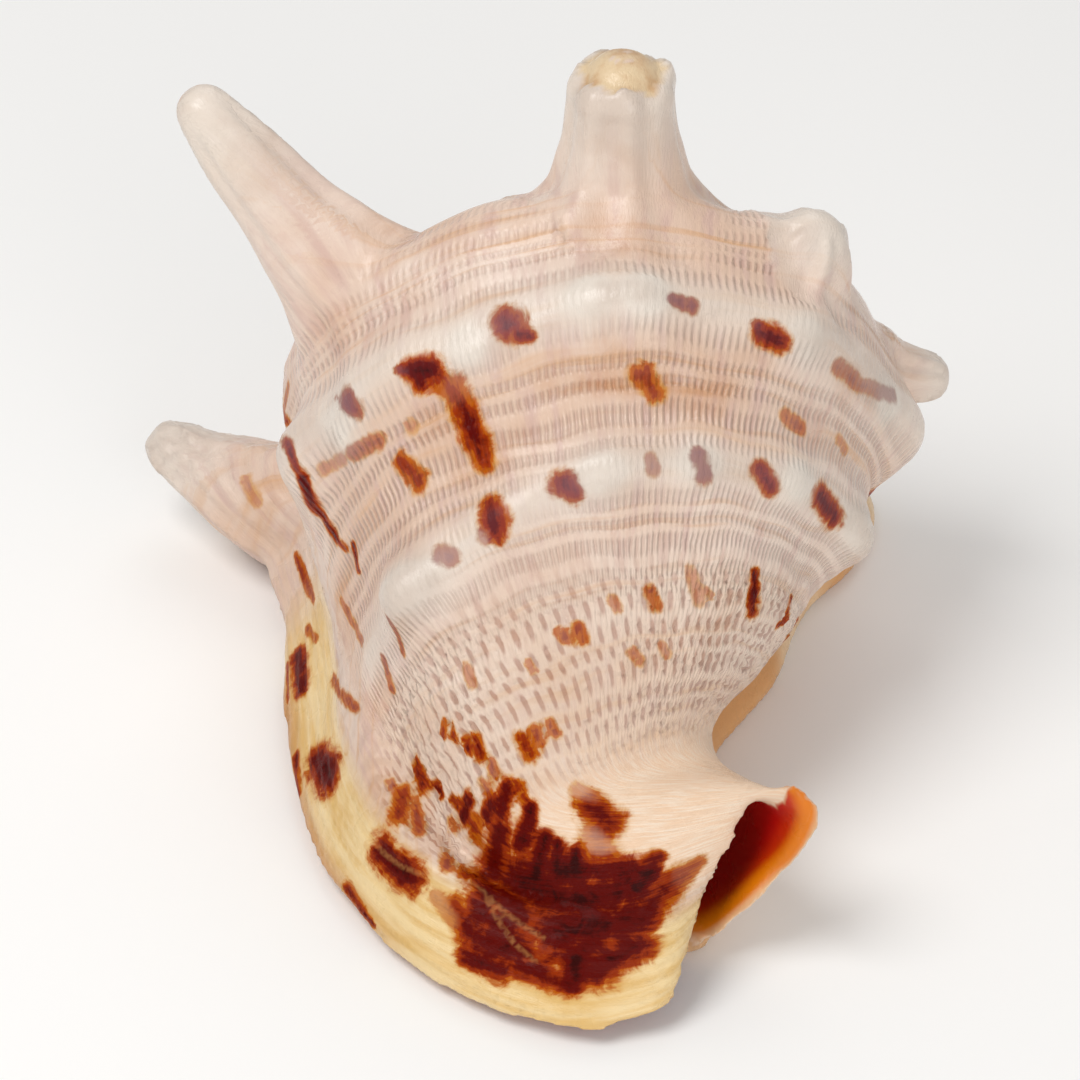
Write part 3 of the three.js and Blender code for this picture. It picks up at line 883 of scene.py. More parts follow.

# %% [markdown]
# ## Cords and pits
# The back is covered with flat cords some four to five millimetres apart; fine threads cross them and
# leave rows of small pits between. Nearer the canal the pits grow coarse and then give way to smooth
# glaze. Cords and coarse pits are pressed into the mesh itself, so they stand in the shape too.
# The threads, under two millimetres apart, are finer than the mesh, so the material adds those as
# bump. Waves that follow the rows are even and true to growth, which sculpting by hand wouldn't be.

# %% Cords
# which cord a row lies on, counted from the suture
CORD_ROWS = [0, 2, 4.45, 6.1, 7, 8, 9, 10, 11]
CORD_NUMBERS = [0, 7, 13.5, 19.5, 23.5, 28, 32, 35, 38]
CORD_HEIGHT = 0.32
# in all that follows, the limits of a soft step are rows, stations or shares of a horn
cord = np.interp(row, CORD_ROWS, CORD_NUMBERS)
# the cords are a little uneven in width, and waver
waver = 0.16 * np.sin(2 * math.pi * cord / 2.7 + 0.4) + 0.1 * np.sin(psi * 0.11 + cord * 0.5)
waver += 0.07 * np.sin(psi * 0.29 + cord)
cord += waver
cord_wave = 0.5 + 0.5 * np.cos(2 * math.pi * cord)

# they fade towards the canal, the lip, the horns and the suture, and on the two rows of knobs
cord_body = outside * (1 - 0.75 * smooth_step(row, 6.9, 7.6)) * (1 - smooth_step(row, 8.0, 9.2))
cord_body = cord_body * (1 - smooth_step(station, 9.7, 10.4))
cord_body = cord_body * (1 - smooth_step(horn_share, 0.3, 0.6))
cord_body = cord_body * (0.5 + 0.5 * smooth_step(row, 3.2, 4.0))
drifted = ROW_DRIFT * np.clip(psi / DRIFT_PSI, 0, 1)
band = np.clip(bell((row - UPPER) / 0.3) + bell((row - LOWER - drifted) / 0.24), 0, 1)
band = band * outside * (1 - smooth_step(station, 9.8, 10.3))
cord_body = cord_body * (1 - 0.85 * band)
lift = CORD_HEIGHT * cord_body * (cord_wave - 0.5)
print("points with cords:", int((cord_body > 0.5).sum()))

# %% The net of pits
# two sets of slanting furrows cross and leave a net with oval pits
# degrees of turn from pit to pit, and depth in millimetres
PIT_TURN, PIT_DEPTH = 4.4, 0.8
pit_zone = smooth_step(row, 6.7, 7.3) * (1 - smooth_step(row, 8.5, 9.3)) * outside
pit_zone = pit_zone * (1 - smooth_step(station, 10.6, 11.0))
pit_turn = 2 * math.pi * psi / PIT_TURN + 1.1 * np.sin(psi * 0.23)
pit_wave = 0.5 * np.cos(pit_turn + 1.5 * math.pi * cord) + 0.5 * np.cos(pit_turn - 0.5 * math.pi * cord)
lift -= PIT_DEPTH * pit_zone * smooth_step(-pit_wave, -0.1, 0.8)
print("points in the net of pits:", int((pit_zone > 0.5).sum()))

# %% Growth streaks on the lip, and a slow unevenness all over
STREAK_HEIGHT, UNEVEN_HEIGHT = 0.22, 0.25
streak = np.sin(station * 41 + 2 * np.sin(row * 1.7))
streak += 0.6 * np.sin(station * 87 + 3 * np.sin(row * 1.1 + 1))
lift += STREAK_HEIGHT * outside * smooth_step(station, 9.6, 10.6) * streak
uneven = np.sin(skin @ [0.21, 0.13, 0.08] + 1.3) * np.sin(skin @ [-0.09, 0.19, 0.16])
lift += UNEVEN_HEIGHT * uneven * np.sin(skin @ [0.11, -0.07, 0.23])
print("the relief so far:", round(float(lift.min()), 2), "to", round(float(lift.max()), 2), "mm")

# %% [markdown]
# ## Ribs, soft knobs and healed breaks
# Ribs run up the horns, where the mantle was folded. The layer round the broken tip stands proud of
# its core. Some knobs are only soft swellings, and two old breaks of the lip healed into low steps.
# They could be sculpted with a brush; lifting the skin along its own normals by a formula does the
# same, and stays even.

# %% Ribs and the broken tip
RIB_HEIGHT, COLLAR_HEIGHT, FRONT_RIB_HEIGHT = 0.4, 0.7, 1.1
# where the strong rib of the broken horn runs and how wide it is, in radians round the horn
FRONT_RIB_ANGLE, FRONT_RIB_WIDTH = 0.97, 0.17
ribs = smooth_step(horn_share, 0.1, 0.4) * (1 - smooth_step(horn_share, 0.85, 0.97))
lift += RIB_HEIGHT * ribs * (np.cos(7 * horn_angle + 0.6) + 0.6 * np.cos(11 * horn_angle))
collar = smooth_step(broken, 0.84, 0.9) * (1 - core)
front_rib = smooth_step(broken, 0.15, 0.4) * (1 - smooth_step(broken, 0.9, 0.97))
front_rib = front_rib * bell((horn_angle - FRONT_RIB_ANGLE) / FRONT_RIB_WIDTH)
lift += COLLAR_HEIGHT * collar + FRONT_RIB_HEIGHT * front_rib
print("points on the collar of the broken tip:", int((collar > 0.5).sum()))

# %% Soft knobs on the two rows
# pixel, and radius and height in millimetres
KNOBS = [
    ((345, 432), 6.0, 1.2), ((412, 592), 6.5, 1.3), ((590, 292), 5.0, 0.9), ((645, 290), 5.0, 0.9),
    ((885, 405), 5.0, 0.8), ((860, 530), 6.0, 1.0), ((470, 352), 4.5, 0.6), ((700, 462), 4.0, 0.5),
    ((600, 472), 4.5, 0.7), ((800, 480), 4.5, 0.7), ((805, 345), 4.5, 0.6),
]
knobbed = np.zeros(count)
for pixel, radius, height in KNOBS:
    swell = bell(np.linalg.norm(skin - on_photo(*pixel), axis=1) / radius)
    lift += height * swell
    knobbed = np.maximum(knobbed, swell)
print(len(KNOBS), "soft knobs")

# %% Healed breaks
SCAR_DEPTH, SCAR_WIDTH = 0.6, 1.9
# the second forks off the first; both are lines of pixels
SCARS = [
    [
        (372, 842), (385, 855), (400, 866), (425, 876), (455, 876),
        (475, 882), (490, 897), (505, 912), (522, 925), (543, 938),
    ],
    [(486, 898), (500, 925), (515, 945), (535, 962)],
]
scarred = np.zeros(count)
for scar in SCARS:
    for start, end in zip(scar, scar[1:]):
        close = nearness(on_photo(*start), on_photo(*end), SCAR_WIDTH, SCAR_WIDTH)
        scarred = np.maximum(scarred, close * outside)
lift -= SCAR_DEPTH * scarred
print(len(SCARS), "healed breaks")

# %% Press the relief into the skin
skin = skin + outward * lift[:, None]
skin[:, 2] = np.maximum(skin[:, 2], 0)
mesh.vertices.foreach_set("co", to_frame(skin).reshape(-1))
mesh.update()
make_active(shell)
bpy.ops.object.shade_smooth()
print("the whole relief:", round(float(lift.min()), 2), "to", round(float(lift.max()), 2), "mm")

# %% [markdown]
# ## Markings
# Most of the spots are short bars laid down along the growing lip, brown where the layer is thin and
# nearly black where it is thick. They could be painted on an image; here each is a line between two
# pixels with a width at each end, and what is stored on the mesh is how deep inside the stain a point
# lies. The material turns that depth into colour and frays the edge with a fine cloud, so the edge
# looks finer than the mesh is.

# %% The stains: start and end pixel, half width at each in pixels, and depth
STAINS = [
    # upper knob row
    ((350, 400), (357, 407), 11, 10, 0.55),
    ((337, 397), (341, 400), 3, 3, 0.4),
    ((412, 369), (430, 373), 11, 15, 1.0),
    ((396, 370), (408, 371), 4, 7, 0.6),
    ((421, 380), (421, 386), 9, 8, 1.0),
    ((506, 320), (512, 326), 13, 14, 0.62),
    ((518, 334), (531, 336), 8, 6, 0.6),
    ((675, 300), (692, 306), 6, 7, 0.5),
    ((757, 325), (762, 336), 6, 8, 0.6),
    ((764, 334), (780, 342), 11, 10, 0.85),
    ((838, 368), (858, 384), 8, 8, 0.4),
    ((858, 384), (892, 396), 6, 7, 0.35),
    # lower knob row
    ((442, 554), (450, 558), 9, 8, 0.4),
    ((490, 505), (494, 520), 10, 14, 0.8),
    ((494, 520), (497, 535), 14, 9, 0.8),
    ((482, 536), (486, 541), 6, 5, 0.35),
    ((562, 482), (572, 492), 12, 10, 0.6),
    ((650, 458), (653, 470), 6, 6, 0.35),
    ((698, 455), (702, 476), 7, 8, 0.45),
    ((760, 470), (772, 488), 9, 9, 0.65),
    ((820, 495), (833, 516), 12, 12, 0.75),
    # between the knob rows
    ((452, 388), (462, 408), 13, 13, 0.5),
    ((466, 415), (476, 440), 13, 12, 0.85),
    ((478, 440), (485, 462), 11, 10, 0.6),
    ((401, 461), (418, 480), 9, 11, 0.55),
    ((380, 440), (352, 454), 8, 7, 0.42),
    ((345, 458), (322, 470), 6, 6, 0.3),
    ((410, 425), (414, 428), 6, 6, 0.25),
    ((642, 374), (655, 394), 11, 9, 0.5),
    ((785, 415), (800, 428), 7, 7, 0.4),
    ((838, 438), (845, 450), 5, 5, 0.3),
    # left flank
    ((287, 384), (284, 413), 4, 6, 0.4),
    ((285, 418), (289, 446), 5, 6, 0.6),
    ((290, 448), (298, 472), 6, 6, 0.65),
    ((302, 478), (313, 505), 9, 10, 0.95),
    ((316, 508), (336, 538), 6, 8, 0.75),
    ((338, 540), (346, 548), 5, 5, 0.6),
    ((353, 546), (358, 568), 5, 5, 0.8),
    ((296, 556), (304, 580), 5, 7, 0.6),
    ((304, 580), (314, 600), 7, 4, 0.5),
    ((342, 600), (350, 618), 4, 4, 0.4),
    ((350, 618), (362, 642), 4, 4, 0.4),
    ((388, 618), (403, 652), 5, 5, 0.5),
    ((383, 658), (392, 690), 4, 4, 0.45),
    ((332, 678), (355, 708), 6, 6, 0.5),
    ((246, 480), (258, 502), 6, 6, 0.3),
    ((308, 628), (316, 640), 5, 5, 0.5),
    # small spots below the knobs
    ((578, 628), (583, 640), 6, 6, 0.5),
    ((650, 592), (656, 606), 6, 6, 0.5),
    ((690, 570), (700, 600), 5, 6, 0.3),
    ((706, 590), (712, 596), 4, 4, 0.35),
    ((755, 572), (754, 608), 5, 9, 0.85),
    ((792, 598), (788, 612), 4, 5, 0.8),
    ((778, 625), (788, 618), 4, 5, 0.7),
    ((632, 652), (640, 662), 5, 5, 0.4),
    ((662, 645), (668, 655), 4, 4, 0.3),
    ((612, 600), (618, 610), 5, 4, 0.35),
    ((560, 632), (566, 640), 5, 5, 0.45),
    ((443, 722), (443, 736), 4, 5, 0.55),
    ((450, 724), (453, 740), 4, 6, 0.6),
    ((464, 738), (468, 750), 5, 6, 0.7),
    ((476, 738), (480, 756), 6, 8, 0.65),
    ((520, 738), (530, 754), 7, 9, 0.6),
    ((534, 730), (540, 742), 5, 5, 0.5),
    ((550, 724), (556, 734), 5, 5, 0.45),
    ((466, 668), (472, 684), 5, 5, 0.35),
    ((528, 662), (534, 672), 4, 4, 0.35),
    ((490, 762), (494, 774), 5, 6, 0.45),
    ((482, 784), (488, 792), 6, 6, 0.45),
    ((580, 790), (592, 802), 8, 10, 0.3),
    ((590, 806), (610, 824), 13, 14, 0.8),
    ((598, 832), (600, 850), 14, 18, 0.38),
    # great blotch
    ((415, 762), (424, 784), 6, 9, 0.7),
    ((436, 784), (441, 794), 5, 5, 0.8),
    ((404, 790), (398, 815), 7, 10, 0.55),
    ((414, 800), (420, 830), 5, 7, 0.5),
    ((390, 780), (392, 786), 4, 4, 0.4),
    ((452, 822), (447, 866), 6, 7, 0.5),
    ((468, 800), (462, 818), 8, 9, 0.9),
    ((452, 800), (458, 806), 6, 6, 0.6),
    ((492, 800), (486, 818), 8, 9, 0.9),
    ((474, 825), (470, 872), 11, 11, 0.6),
    ((508, 786), (500, 815), 8, 10, 1.0),
    ((518, 786), (524, 800), 6, 6, 0.6),
    ((531, 806), (522, 845), 7, 12, 1.1),
    ((500, 830), (492, 870), 14, 18, 0.9),
    ((545, 838), (535, 875), 9, 20, 1.2),
    ((558, 846), (556, 870), 8, 14, 1.2),
    ((576, 852), (574, 872), 8, 14, 1.2),
    ((560, 872), (650, 872), 16, 14, 1.3),
    ((650, 862), (662, 856), 9, 5, 0.7),
    ((520, 880), (560, 900), 26, 22, 1.0),
    ((580, 900), (640, 890), 24, 16, 1.1),
    ((560, 930), (630, 920), 34, 24, 1.0),
    ((578, 960), (572, 984), 24, 12, 1.1),
    ((600, 965), (640, 945), 20, 14, 0.9),
    ((640, 925), (664, 890), 16, 14, 0.75),
    ((664, 890), (700, 862), 16, 7, 0.5),
    ((480, 940), (520, 950), 19, 22, 1.0),
    ((466, 958), (500, 970), 10, 12, 0.9),
    ((520, 965), (570, 985), 14, 10, 0.8),
    ((455, 905), (468, 930), 11, 14, 0.6),
    ((436, 896), (456, 920), 7, 9, 0.35),
    ((478, 880), (492, 900), 8, 12, 0.85),
    ((488, 886), (520, 910), 18, 22, 0.9),
    ((476, 912), (506, 930), 18, 18, 0.85),
    # lip
    ((298, 655), (302, 688), 12, 12, 0.9),
    ((287, 664), (288, 700), 4, 4, 0.6),
    ((318, 760), (330, 776), 18, 20, 1.0),
    ((297, 755), (299, 795), 5, 5, 0.7),
    ((380, 851), (411, 878), 15, 16, 1.0),
    ((347, 888), (372, 924), 8, 5, 0.7),
]


def seen(marks):
    """Marks picked in the photograph, with their ends on the skin and their widths in millimetres."""
    return [
        (on_photo(*start), on_photo(*end), first / PIXELS_PER_MM, last / PIXELS_PER_MM, depth)
        for start, end, first, last, depth in marks
    ]


spots = seen(STAINS)
print(len(spots), "stains in view")

# %% Spots on the hidden sides
# they go on in the same rhythm, a bar between every two knobs of each row
HIDDEN_TURNS = (-96, -112, -129, -143, -160, -178, -194)
# the row of each bar, and how many degrees it leans towards the lip
HIDDEN_BARS = ((UPPER, 3), (LOWER, 2), (5.2, 5))
BAR_START, BAR_END = -0.12, 0.16
BAR_WIDTHS, BAR_DEPTH = (2.0, 2.4), 0.75
# a smaller bar lies among the pits: how many degrees on, its rows, its half width and its depth
SMALL_BAR_TURNS, SMALL_BAR_ROWS, SMALL_BAR_WIDTH, SMALL_BAR_DEPTH = (6, 7), (7.1, 7.35), 1.2, 0.6


def on_skin(turn, across):
    """The place at an angle round the whorl, in degrees, and a row across it."""
    at = (turn - FIRST_PSI) / STATION_STEP
    return sheet(at, across) + sheet_frame(at, across)[2] * relief(at, across)


for turn in HIDDEN_TURNS:
    for across, lean in HIDDEN_BARS:
        start, end = on_skin(turn, across + BAR_START), on_skin(turn + lean, across + BAR_END)
        spots.append((start, end, *BAR_WIDTHS, BAR_DEPTH))
    start, end = (on_skin(turn + more, row_of) for more, row_of in zip(SMALL_BAR_TURNS, SMALL_BAR_ROWS))
    spots.append((start, end, SMALL_BAR_WIDTH, SMALL_BAR_WIDTH, SMALL_BAR_DEPTH))
print(len(spots), "stains in all")

# %% How deep inside a stain each point lies, and how dark that stain is
STAIN_SPREAD = 1.4
NO_STAIN = -1.0
stain = np.full(count, NO_STAIN)
# the tone between two stains is the mean of theirs, weighed by nearness
tone_sum, tone_share = np.full(count, 1e-6), np.full(count, 2e-6)
for start, end, first, last, depth in spots:
    reach = nearness(start, end, first * STAIN_SPREAD, last * STAIN_SPREAD)
    stain = np.maximum(stain, reach)
    weight = np.clip(reach + 0.3, 0, 1.3) ** 3
    tone_sum += weight * depth
    tone_share += weight
stain = np.where((outside > 0.3) | (horn_share > 0.05), stain, NO_STAIN)
tone = tone_sum / tone_share
print("the stains cover", int((stain > 0).sum()), "points")

# %% Broad washes of brown, faint on the ground and strong in the pits; two of them are painted shade
# start and end pixel, half width at each in pixels, and depth
WASHES_AND_SHADE = [
    ((565, 390), (640, 384), 8, 13, 1.4),
    ((640, 384), (732, 392), 13, 10, 1.4),
    ((440, 430), (490, 465), 34, 30, 0.9),
    ((560, 372), (720, 398), 26, 34, 0.8),
    ((850, 380), (892, 402), 26, 22, 0.8),
    ((330, 335), (420, 300), 26, 26, 0.45),
    # painted shade: the front of the broken horn, between its ribs, is darkened
    ((612, 130), (620, 235), 24, 40, 0.8),
    ((225, 140), (290, 230), 12, 20, 0.35),
    ((340, 600), (380, 700), 30, 30, 0.6),
    ((480, 640), (620, 560), 50, 40, 0.5),
    # painted shade below the big knobs of the upper row
    ((600, 345), (760, 365), 16, 18, 0.6),
    ((430, 740), (560, 700), 44, 46, 0.7),
    ((640, 655), (760, 605), 36, 34, 0.7),
    ((700, 570), (790, 600), 28, 24, 0.5),
    ((395, 790), (430, 850), 40, 36, 0.9),
    ((500, 800), (590, 800), 36, 24, 0.7),
    ((340, 470), (400, 560), 30, 30, 0.35),
    ((800, 420), (850, 450), 24, 24, 0.6),
    ((480, 480), (520, 450), 22, 26, 0.5),
    ((560, 650), (680, 640), 18, 22, 0.6),
]
WASH_AND_SHADE_SPREAD = 1.4
wash_and_shade = np.zeros(count)
for start, end, first, last, depth in seen(WASHES_AND_SHADE):
    close = nearness(start, end, first * WASH_AND_SHADE_SPREAD, last * WASH_AND_SHADE_SPREAD)
    wash_and_shade = np.maximum(wash_and_shade, depth * smooth_step(close, 0, 0.8))
print(len(WASHES_AND_SHADE), "washes")

# %% [markdown]
# ## Zones of colour
# The shell isn't one colour: knobs and horn tips are worn to ivory, the neck is peach, the lip straw
# yellow with a burnt edge, the canal red inside with an orange rim. Each could be a material of its
# own with a hard border. Stored on the mesh as a share from nought to one, they run into each other.

# %% The zones
ivory = 0.7 * band * (1 - smooth_step(psi, 85, 110)) + 0.8 * knobbed
ivory += 0.9 * smooth_step(horn_share, 0.5, 0.9)
peach = outside * smooth_step(row, 8.3, 9.4) * (1 - smooth_step(station, 10.3, 11.2))
lip_tone = smooth_step(facing, -0.4, 0.2) * (1 - shielded)
lip_tone = lip_tone * smooth_step(station, 10.75, 11.15) * smooth_step(row, 3.6, 4.6)
edge_tone = outside * smooth_step(station, 11.6, 11.95)
edge_tone = edge_tone * smooth_step(row, 4.2, 5) * (1 - smooth_step(row, 7, 8))
rim_side = smooth_step(-facing, -0.3, 0.3) * smooth_step(row, 9.6, 10.2) * (1 - smooth_step(gap, 2, 4))
throat = np.maximum(inside * smooth_step(row, 8.4, 9.6), rim_side * (1 - shielded))
rim_tone = smooth_step(row, 10.15, 10.95)

ZONES = {
    "stain": stain, "tone": tone, "wash_and_shade": wash_and_shade, "scarred": scarred,
    "outside": outside, "inside": inside, "shielded": shielded, "core": core,
    "cord_body": cord_body, "pit_zone": pit_zone, "ivory": np.clip(ivory, 0, 1), "peach": peach,
    "lip_tone": lip_tone, "edge_tone": edge_tone, "throat": throat, "rim_tone": rim_tone,
}
for name, values in ZONES.items():
    layer = mesh.attributes.new(name, "FLOAT", "POINT")
    layer.data.foreach_set("value", np.asarray(values, dtype=np.float32))

# the growth place goes into a map, so that the material can follow it: turns across, cords up
TURN_UNIT = 10.0
growth_map = mesh.uv_layers.new(name="growth")
corner = np.empty(len(mesh.loops), dtype=np.int32)
mesh.loops.foreach_get("vertex_index", corner)
growth_place = np.column_stack([psi / TURN_UNIT, cord])
growth_map.data.foreach_set("uv", growth_place[corner].astype(np.float32).reshape(-1))
print(len(ZONES), "zones stored")

# %% [markdown]
# ## The glaze
# The real thing is shell: fine layers of calcium carbonate, polished by the mantle. It is hard, bright
# and a little waxy, with an index of refraction near 1.55 and a low roughness. Light that goes a little
# way in could be worked out as well, but it costs much time and changes little on a wall this thick,
# so one Principled shader with a thin clear coat stands for all of it. The colours are mixed from the
# stored zones, from the pale ground up to the stains on top.


# %% Helpers for materials
def linear(code):
    """An sRGB hex colour as linear values."""
    parts = [int(code[k : k + 2], 16) / 255 for k in (1, 3, 5)]
    return tuple(c / 12.92 if c <= 0.04045 else ((c + 0.055) / 1.055) ** 2.4 for c in parts) + (1.0,)


def add_node(tree, kind, inputs=None, **settings):
    """A node with its settings, and values or links for its inputs."""
    node = tree.nodes.new(kind)
    for key, value in settings.items():
        setattr(node, key, value)
    for key, value in (inputs or {}).items():
        if isinstance(value, bpy.types.NodeSocket):
            tree.links.new(value, node.inputs[key])
        else:
            node.inputs[key].default_value = value
    return node


glaze = bpy.data.materials.new("glazed_shell")
glaze.use_nodes = True
net = glaze.node_tree
net.nodes.clear()


def stored(name):
    """A zone that was stored on the mesh."""
    node = add_node(net, "ShaderNodeAttribute", attribute_name=name, attribute_type="GEOMETRY")
    return node.outputs["Fac"]


def calculate(operation, first, second=0.5, third=0.5):
    node = add_node(net, "ShaderNodeMath", {0: first, 1: second, 2: third}, operation=operation)
    return node.outputs[0]


def times(first, second):
    return calculate("MULTIPLY", first, second)


def remap(value, low, high, to_low=0.0, to_high=1.0):
    """A soft step of a value between two others."""
    limits = {"Value": value, "From Min": low, "From Max": high, "To Min": to_low, "To Max": to_high}
    return add_node(net, "ShaderNodeMapRange", limits, interpolation_type="SMOOTHSTEP").outputs["Result"]


def cloud(vector, scale, detail=3.0, rough=0.55, warp=0.0):
    looks = {"Vector": vector, "Scale": scale, "Detail": detail, "Roughness": rough, "Distortion": warp}
    return add_node(net, "ShaderNodeTexNoise", looks).outputs["Fac"]


def blend_colour(share, first, second):
    """A mix of two colours, each a hex code or a link."""
    node = add_node(net, "ShaderNodeMix", data_type="RGBA", clamp_factor=True)
    for key, value in (("Factor_Float", share), ("A_Color", first), ("B_Color", second)):
        socket = next(s for s in node.inputs if s.identifier == key)
        if isinstance(value, bpy.types.NodeSocket):
            net.links.new(value, socket)
        else:
            socket.default_value = linear(value)
    return next(s for s in node.outputs if s.identifier == "Result_Color")


print("the helpers work on", glaze.name)

# %% What the patterns follow: the place, the growth lines, or the cords
ALONG_LINES, ALONG_CORDS = (1.0, 0.12, 1.0), (0.12, 1.0, 1.0)
place_of = add_node(net, "ShaderNodeTexCoord").outputs["Object"]
growth_uv = add_node(net, "ShaderNodeUVMap", uv_map="growth").outputs["UV"]
turned, ringed = (
    add_node(net, "ShaderNodeMapping", {"Vector": growth_uv, "Scale": stretch}).outputs["Vector"]
    for stretch in (ALONG_LINES, ALONG_CORDS)
)
parts = add_node(net, "ShaderNodeSeparateXYZ", {"Vector": growth_uv})
turn_place, cord_place = parts.outputs["X"], parts.outputs["Y"]
print("nodes for the places:", len(net.nodes))

# %% Threads and pits, on the same waves as the relief
TWO_PI = 2 * math.pi
# threads in ten degrees of turn
THREADS_PER_UNIT = 6.2
cord_phase = calculate("COSINE", times(cord_place, TWO_PI))
waver = times(cloud(growth_uv, 1.2), 0.12)
thread = calculate("SINE", times(calculate("ADD", turn_place, waver), TWO_PI * THREADS_PER_UNIT))
pit_turn = calculate("ADD", times(turn_place, TURN_UNIT / PIT_TURN), waver)
furrows = [
    calculate("COSINE", times(calculate("MULTIPLY_ADD", cord_place, slant, pit_turn), TWO_PI))
    for slant in (0.75, -0.25)
]
pit_phase = times(calculate("ADD", *furrows), 0.5)
groove = remap(cord_phase, 0.45, -0.5)
fine_pit = times(times(groove, remap(thread, 0.5, -0.6)), stored("cord_body"))
coarse_pit = times(remap(pit_phase, -0.05, -0.7), stored("pit_zone"))
print("nodes for the waves:", len(net.nodes))

# %% The pale ground: soft clouds, mauve growth streaks, and warm grooves between the cords
PALE, BEIGE, MAUVE, WARM = "#E9D3C3", "#DFBFA8", "#D2B0A4", "#D49C60"
WASH_AND_SHADE_BROWN, PIT, BROWN_PIT, NET_GROUND = "#C58A5A", "#AF8475", "#A2561C", "#E9D2BC"
ground = blend_colour(remap(cloud(place_of, 26), 0.38, 0.62), PALE, BEIGE)
ground = blend_colour(remap(cloud(turned, 3.2, 4), 0.45, 0.7, 0, 0.7), ground, MAUVE)
warm_share = times(remap(cloud(ringed, 1.6, 3), 0.5, 0.75, 0, 0.55), stored("outside"))
ground = blend_colour(warm_share, ground, WARM)
# the washes tint the ground brown and the pits browner; on the broken horn and below the upper knobs
# they are painted shade
brown_share = times(stored("wash_and_shade"), remap(cloud(place_of, 120, 3), 0.35, 0.65, 0.25, 1.0))
ground = blend_colour(times(brown_share, 0.5), ground, WASH_AND_SHADE_BROWN)
pit_colour = blend_colour(brown_share, PIT, BROWN_PIT)
off_the_net = calculate("SUBTRACT", 1.0, stored("pit_zone"))
patchy = times(remap(cloud(place_of, 55, 2), 0.3, 0.7, 0.1, 0.42), off_the_net)
ground = blend_colour(times(fine_pit, patchy), ground, pit_colour)
ground = blend_colour(times(stored("pit_zone"), 0.4), ground, NET_GROUND)
ground = blend_colour(times(coarse_pit, 0.6), ground, pit_colour)


# %% The zones over it
def cover_zone(name, below, colour):
    return blend_colour(stored(name), below, colour)


def two_tone(vector, scale, detail, low, high, first, second):
    """A colour that clouds between two."""
    return blend_colour(remap(cloud(vector, scale, detail), low, high), first, second)


BURNT_EDGE = "#B86A22"
ground = cover_zone("peach", ground, two_tone(turned, 8, 3, 0.4, 0.65, "#F2CFAE", "#F7E0C8"))
lip_colour = two_tone(turned, 2.2, 4, 0.38, 0.66, "#F1D49E", "#E2B972")
lip_colour = blend_colour(times(stored("edge_tone"), 0.7), lip_colour, BURNT_EDGE)
ground = cover_zone("lip_tone", ground, lip_colour)
ground = cover_zone("ivory", ground, two_tone(place_of, 60, 3, 0.4, 0.65, "#E6DACD", "#D6C6B8"))
ground = cover_zone("core", ground, two_tone(place_of, 180, 3, 0.4, 0.65, "#E2C8A2", "#CDA67C"))
ground = cover_zone("inside", ground, two_tone(place_of, 40, 3, 0.4, 0.6, "#C98850", "#A8622C"))
ground = cover_zone("shielded", ground, two_tone(place_of, 35, 3, 0.4, 0.62, "#E9C9A0", "#D9A066"))

# the canal: red inside, then an orange band, then a pale rim
DEEP_RED, RED, ORANGE, PALE_RIM = "#B80A06", "#CC3002", "#E87E06", "#EABF92"
canal = blend_colour(remap(stored("rim_tone"), 0.3, 0.8), DEEP_RED, RED)
canal = blend_colour(remap(stored("rim_tone"), 0.68, 0.94), canal, ORANGE)
canal = blend_colour(remap(stored("rim_tone"), 0.96, 1.01), canal, PALE_RIM)
ground = cover_zone("throat", ground, canal)
print("nodes up to the ground colours:", len(net.nodes))

# %% The stains: brown where the layer is thin, nearly black where it is thick
AMBER, BROWN, RED_BROWN, DARK, DARKEST = "#CF9038", "#B85A06", "#962F02", "#5E0600", "#340200"
# a stain under the ivory shows mauve through it, and a healed break runs through one in ochre
MILKY, HEALED = "#8A6A72", "#C98A50"
ragged = calculate("MULTIPLY_ADD", cloud(place_of, 230, 4, 0.65, 0.8), 3.0, -1.5)
striped = calculate("MULTIPLY_ADD", cloud(turned, 7, 4), 0.9, -0.45)
spread = calculate("ADD", stored("stain"), calculate("ADD", times(ragged, 0.38), times(striped, 0.35)))
cover = remap(spread, -0.2, 0.36)
thick = calculate("MULTIPLY_ADD", spread, 1.15, -0.04)
depth = calculate("ADD", times(stored("tone"), thick), times(striped, 0.55))
stain_colour = blend_colour(remap(depth, 0.02, 0.18), AMBER, BROWN)
stain_colour = blend_colour(remap(depth, 0.24, 0.42), stain_colour, RED_BROWN)
stain_colour = blend_colour(remap(depth, 0.42, 0.75), stain_colour, DARK)
stain_colour = blend_colour(remap(depth, 0.85, 1.3), stain_colour, DARKEST)
milky = times(stored("ivory"), remap(stored("tone"), 0.9, 0.5, 0.1, 0.75))
stain_colour = blend_colour(milky, stain_colour, MILKY)
stain_colour = blend_colour(remap(stored("scarred"), 0.55, 0.95, 0, 0.4), stain_colour, HEALED)
faint = times(cover, remap(stored("tone"), 0.2, 0.6, 0.5, 1.0))
coloured = blend_colour(faint, ground, stain_colour)
print("nodes up to the stains:", len(net.nodes))

# %% Bump and shader
# threads across the cords, some 1.7 mm apart on the back, and the fine grain of the growth lines
BUMP_STRENGTH, BUMP_HEIGHT = 0.6, 0.4 * MM
IOR, COAT_ROUGHNESS = 1.55, 0.12
thread_body = times(stored("cord_body"), remap(cord_phase, 0.9, -0.3, 0.2, 1.0))
grain = times(cloud(turned, 30, 3), 0.7)
height = calculate("ADD", times(thread, thread_body), grain)
bump_looks = {"Height": height, "Strength": BUMP_STRENGTH, "Distance": BUMP_HEIGHT}
bump = add_node(net, "ShaderNodeBump", bump_looks)
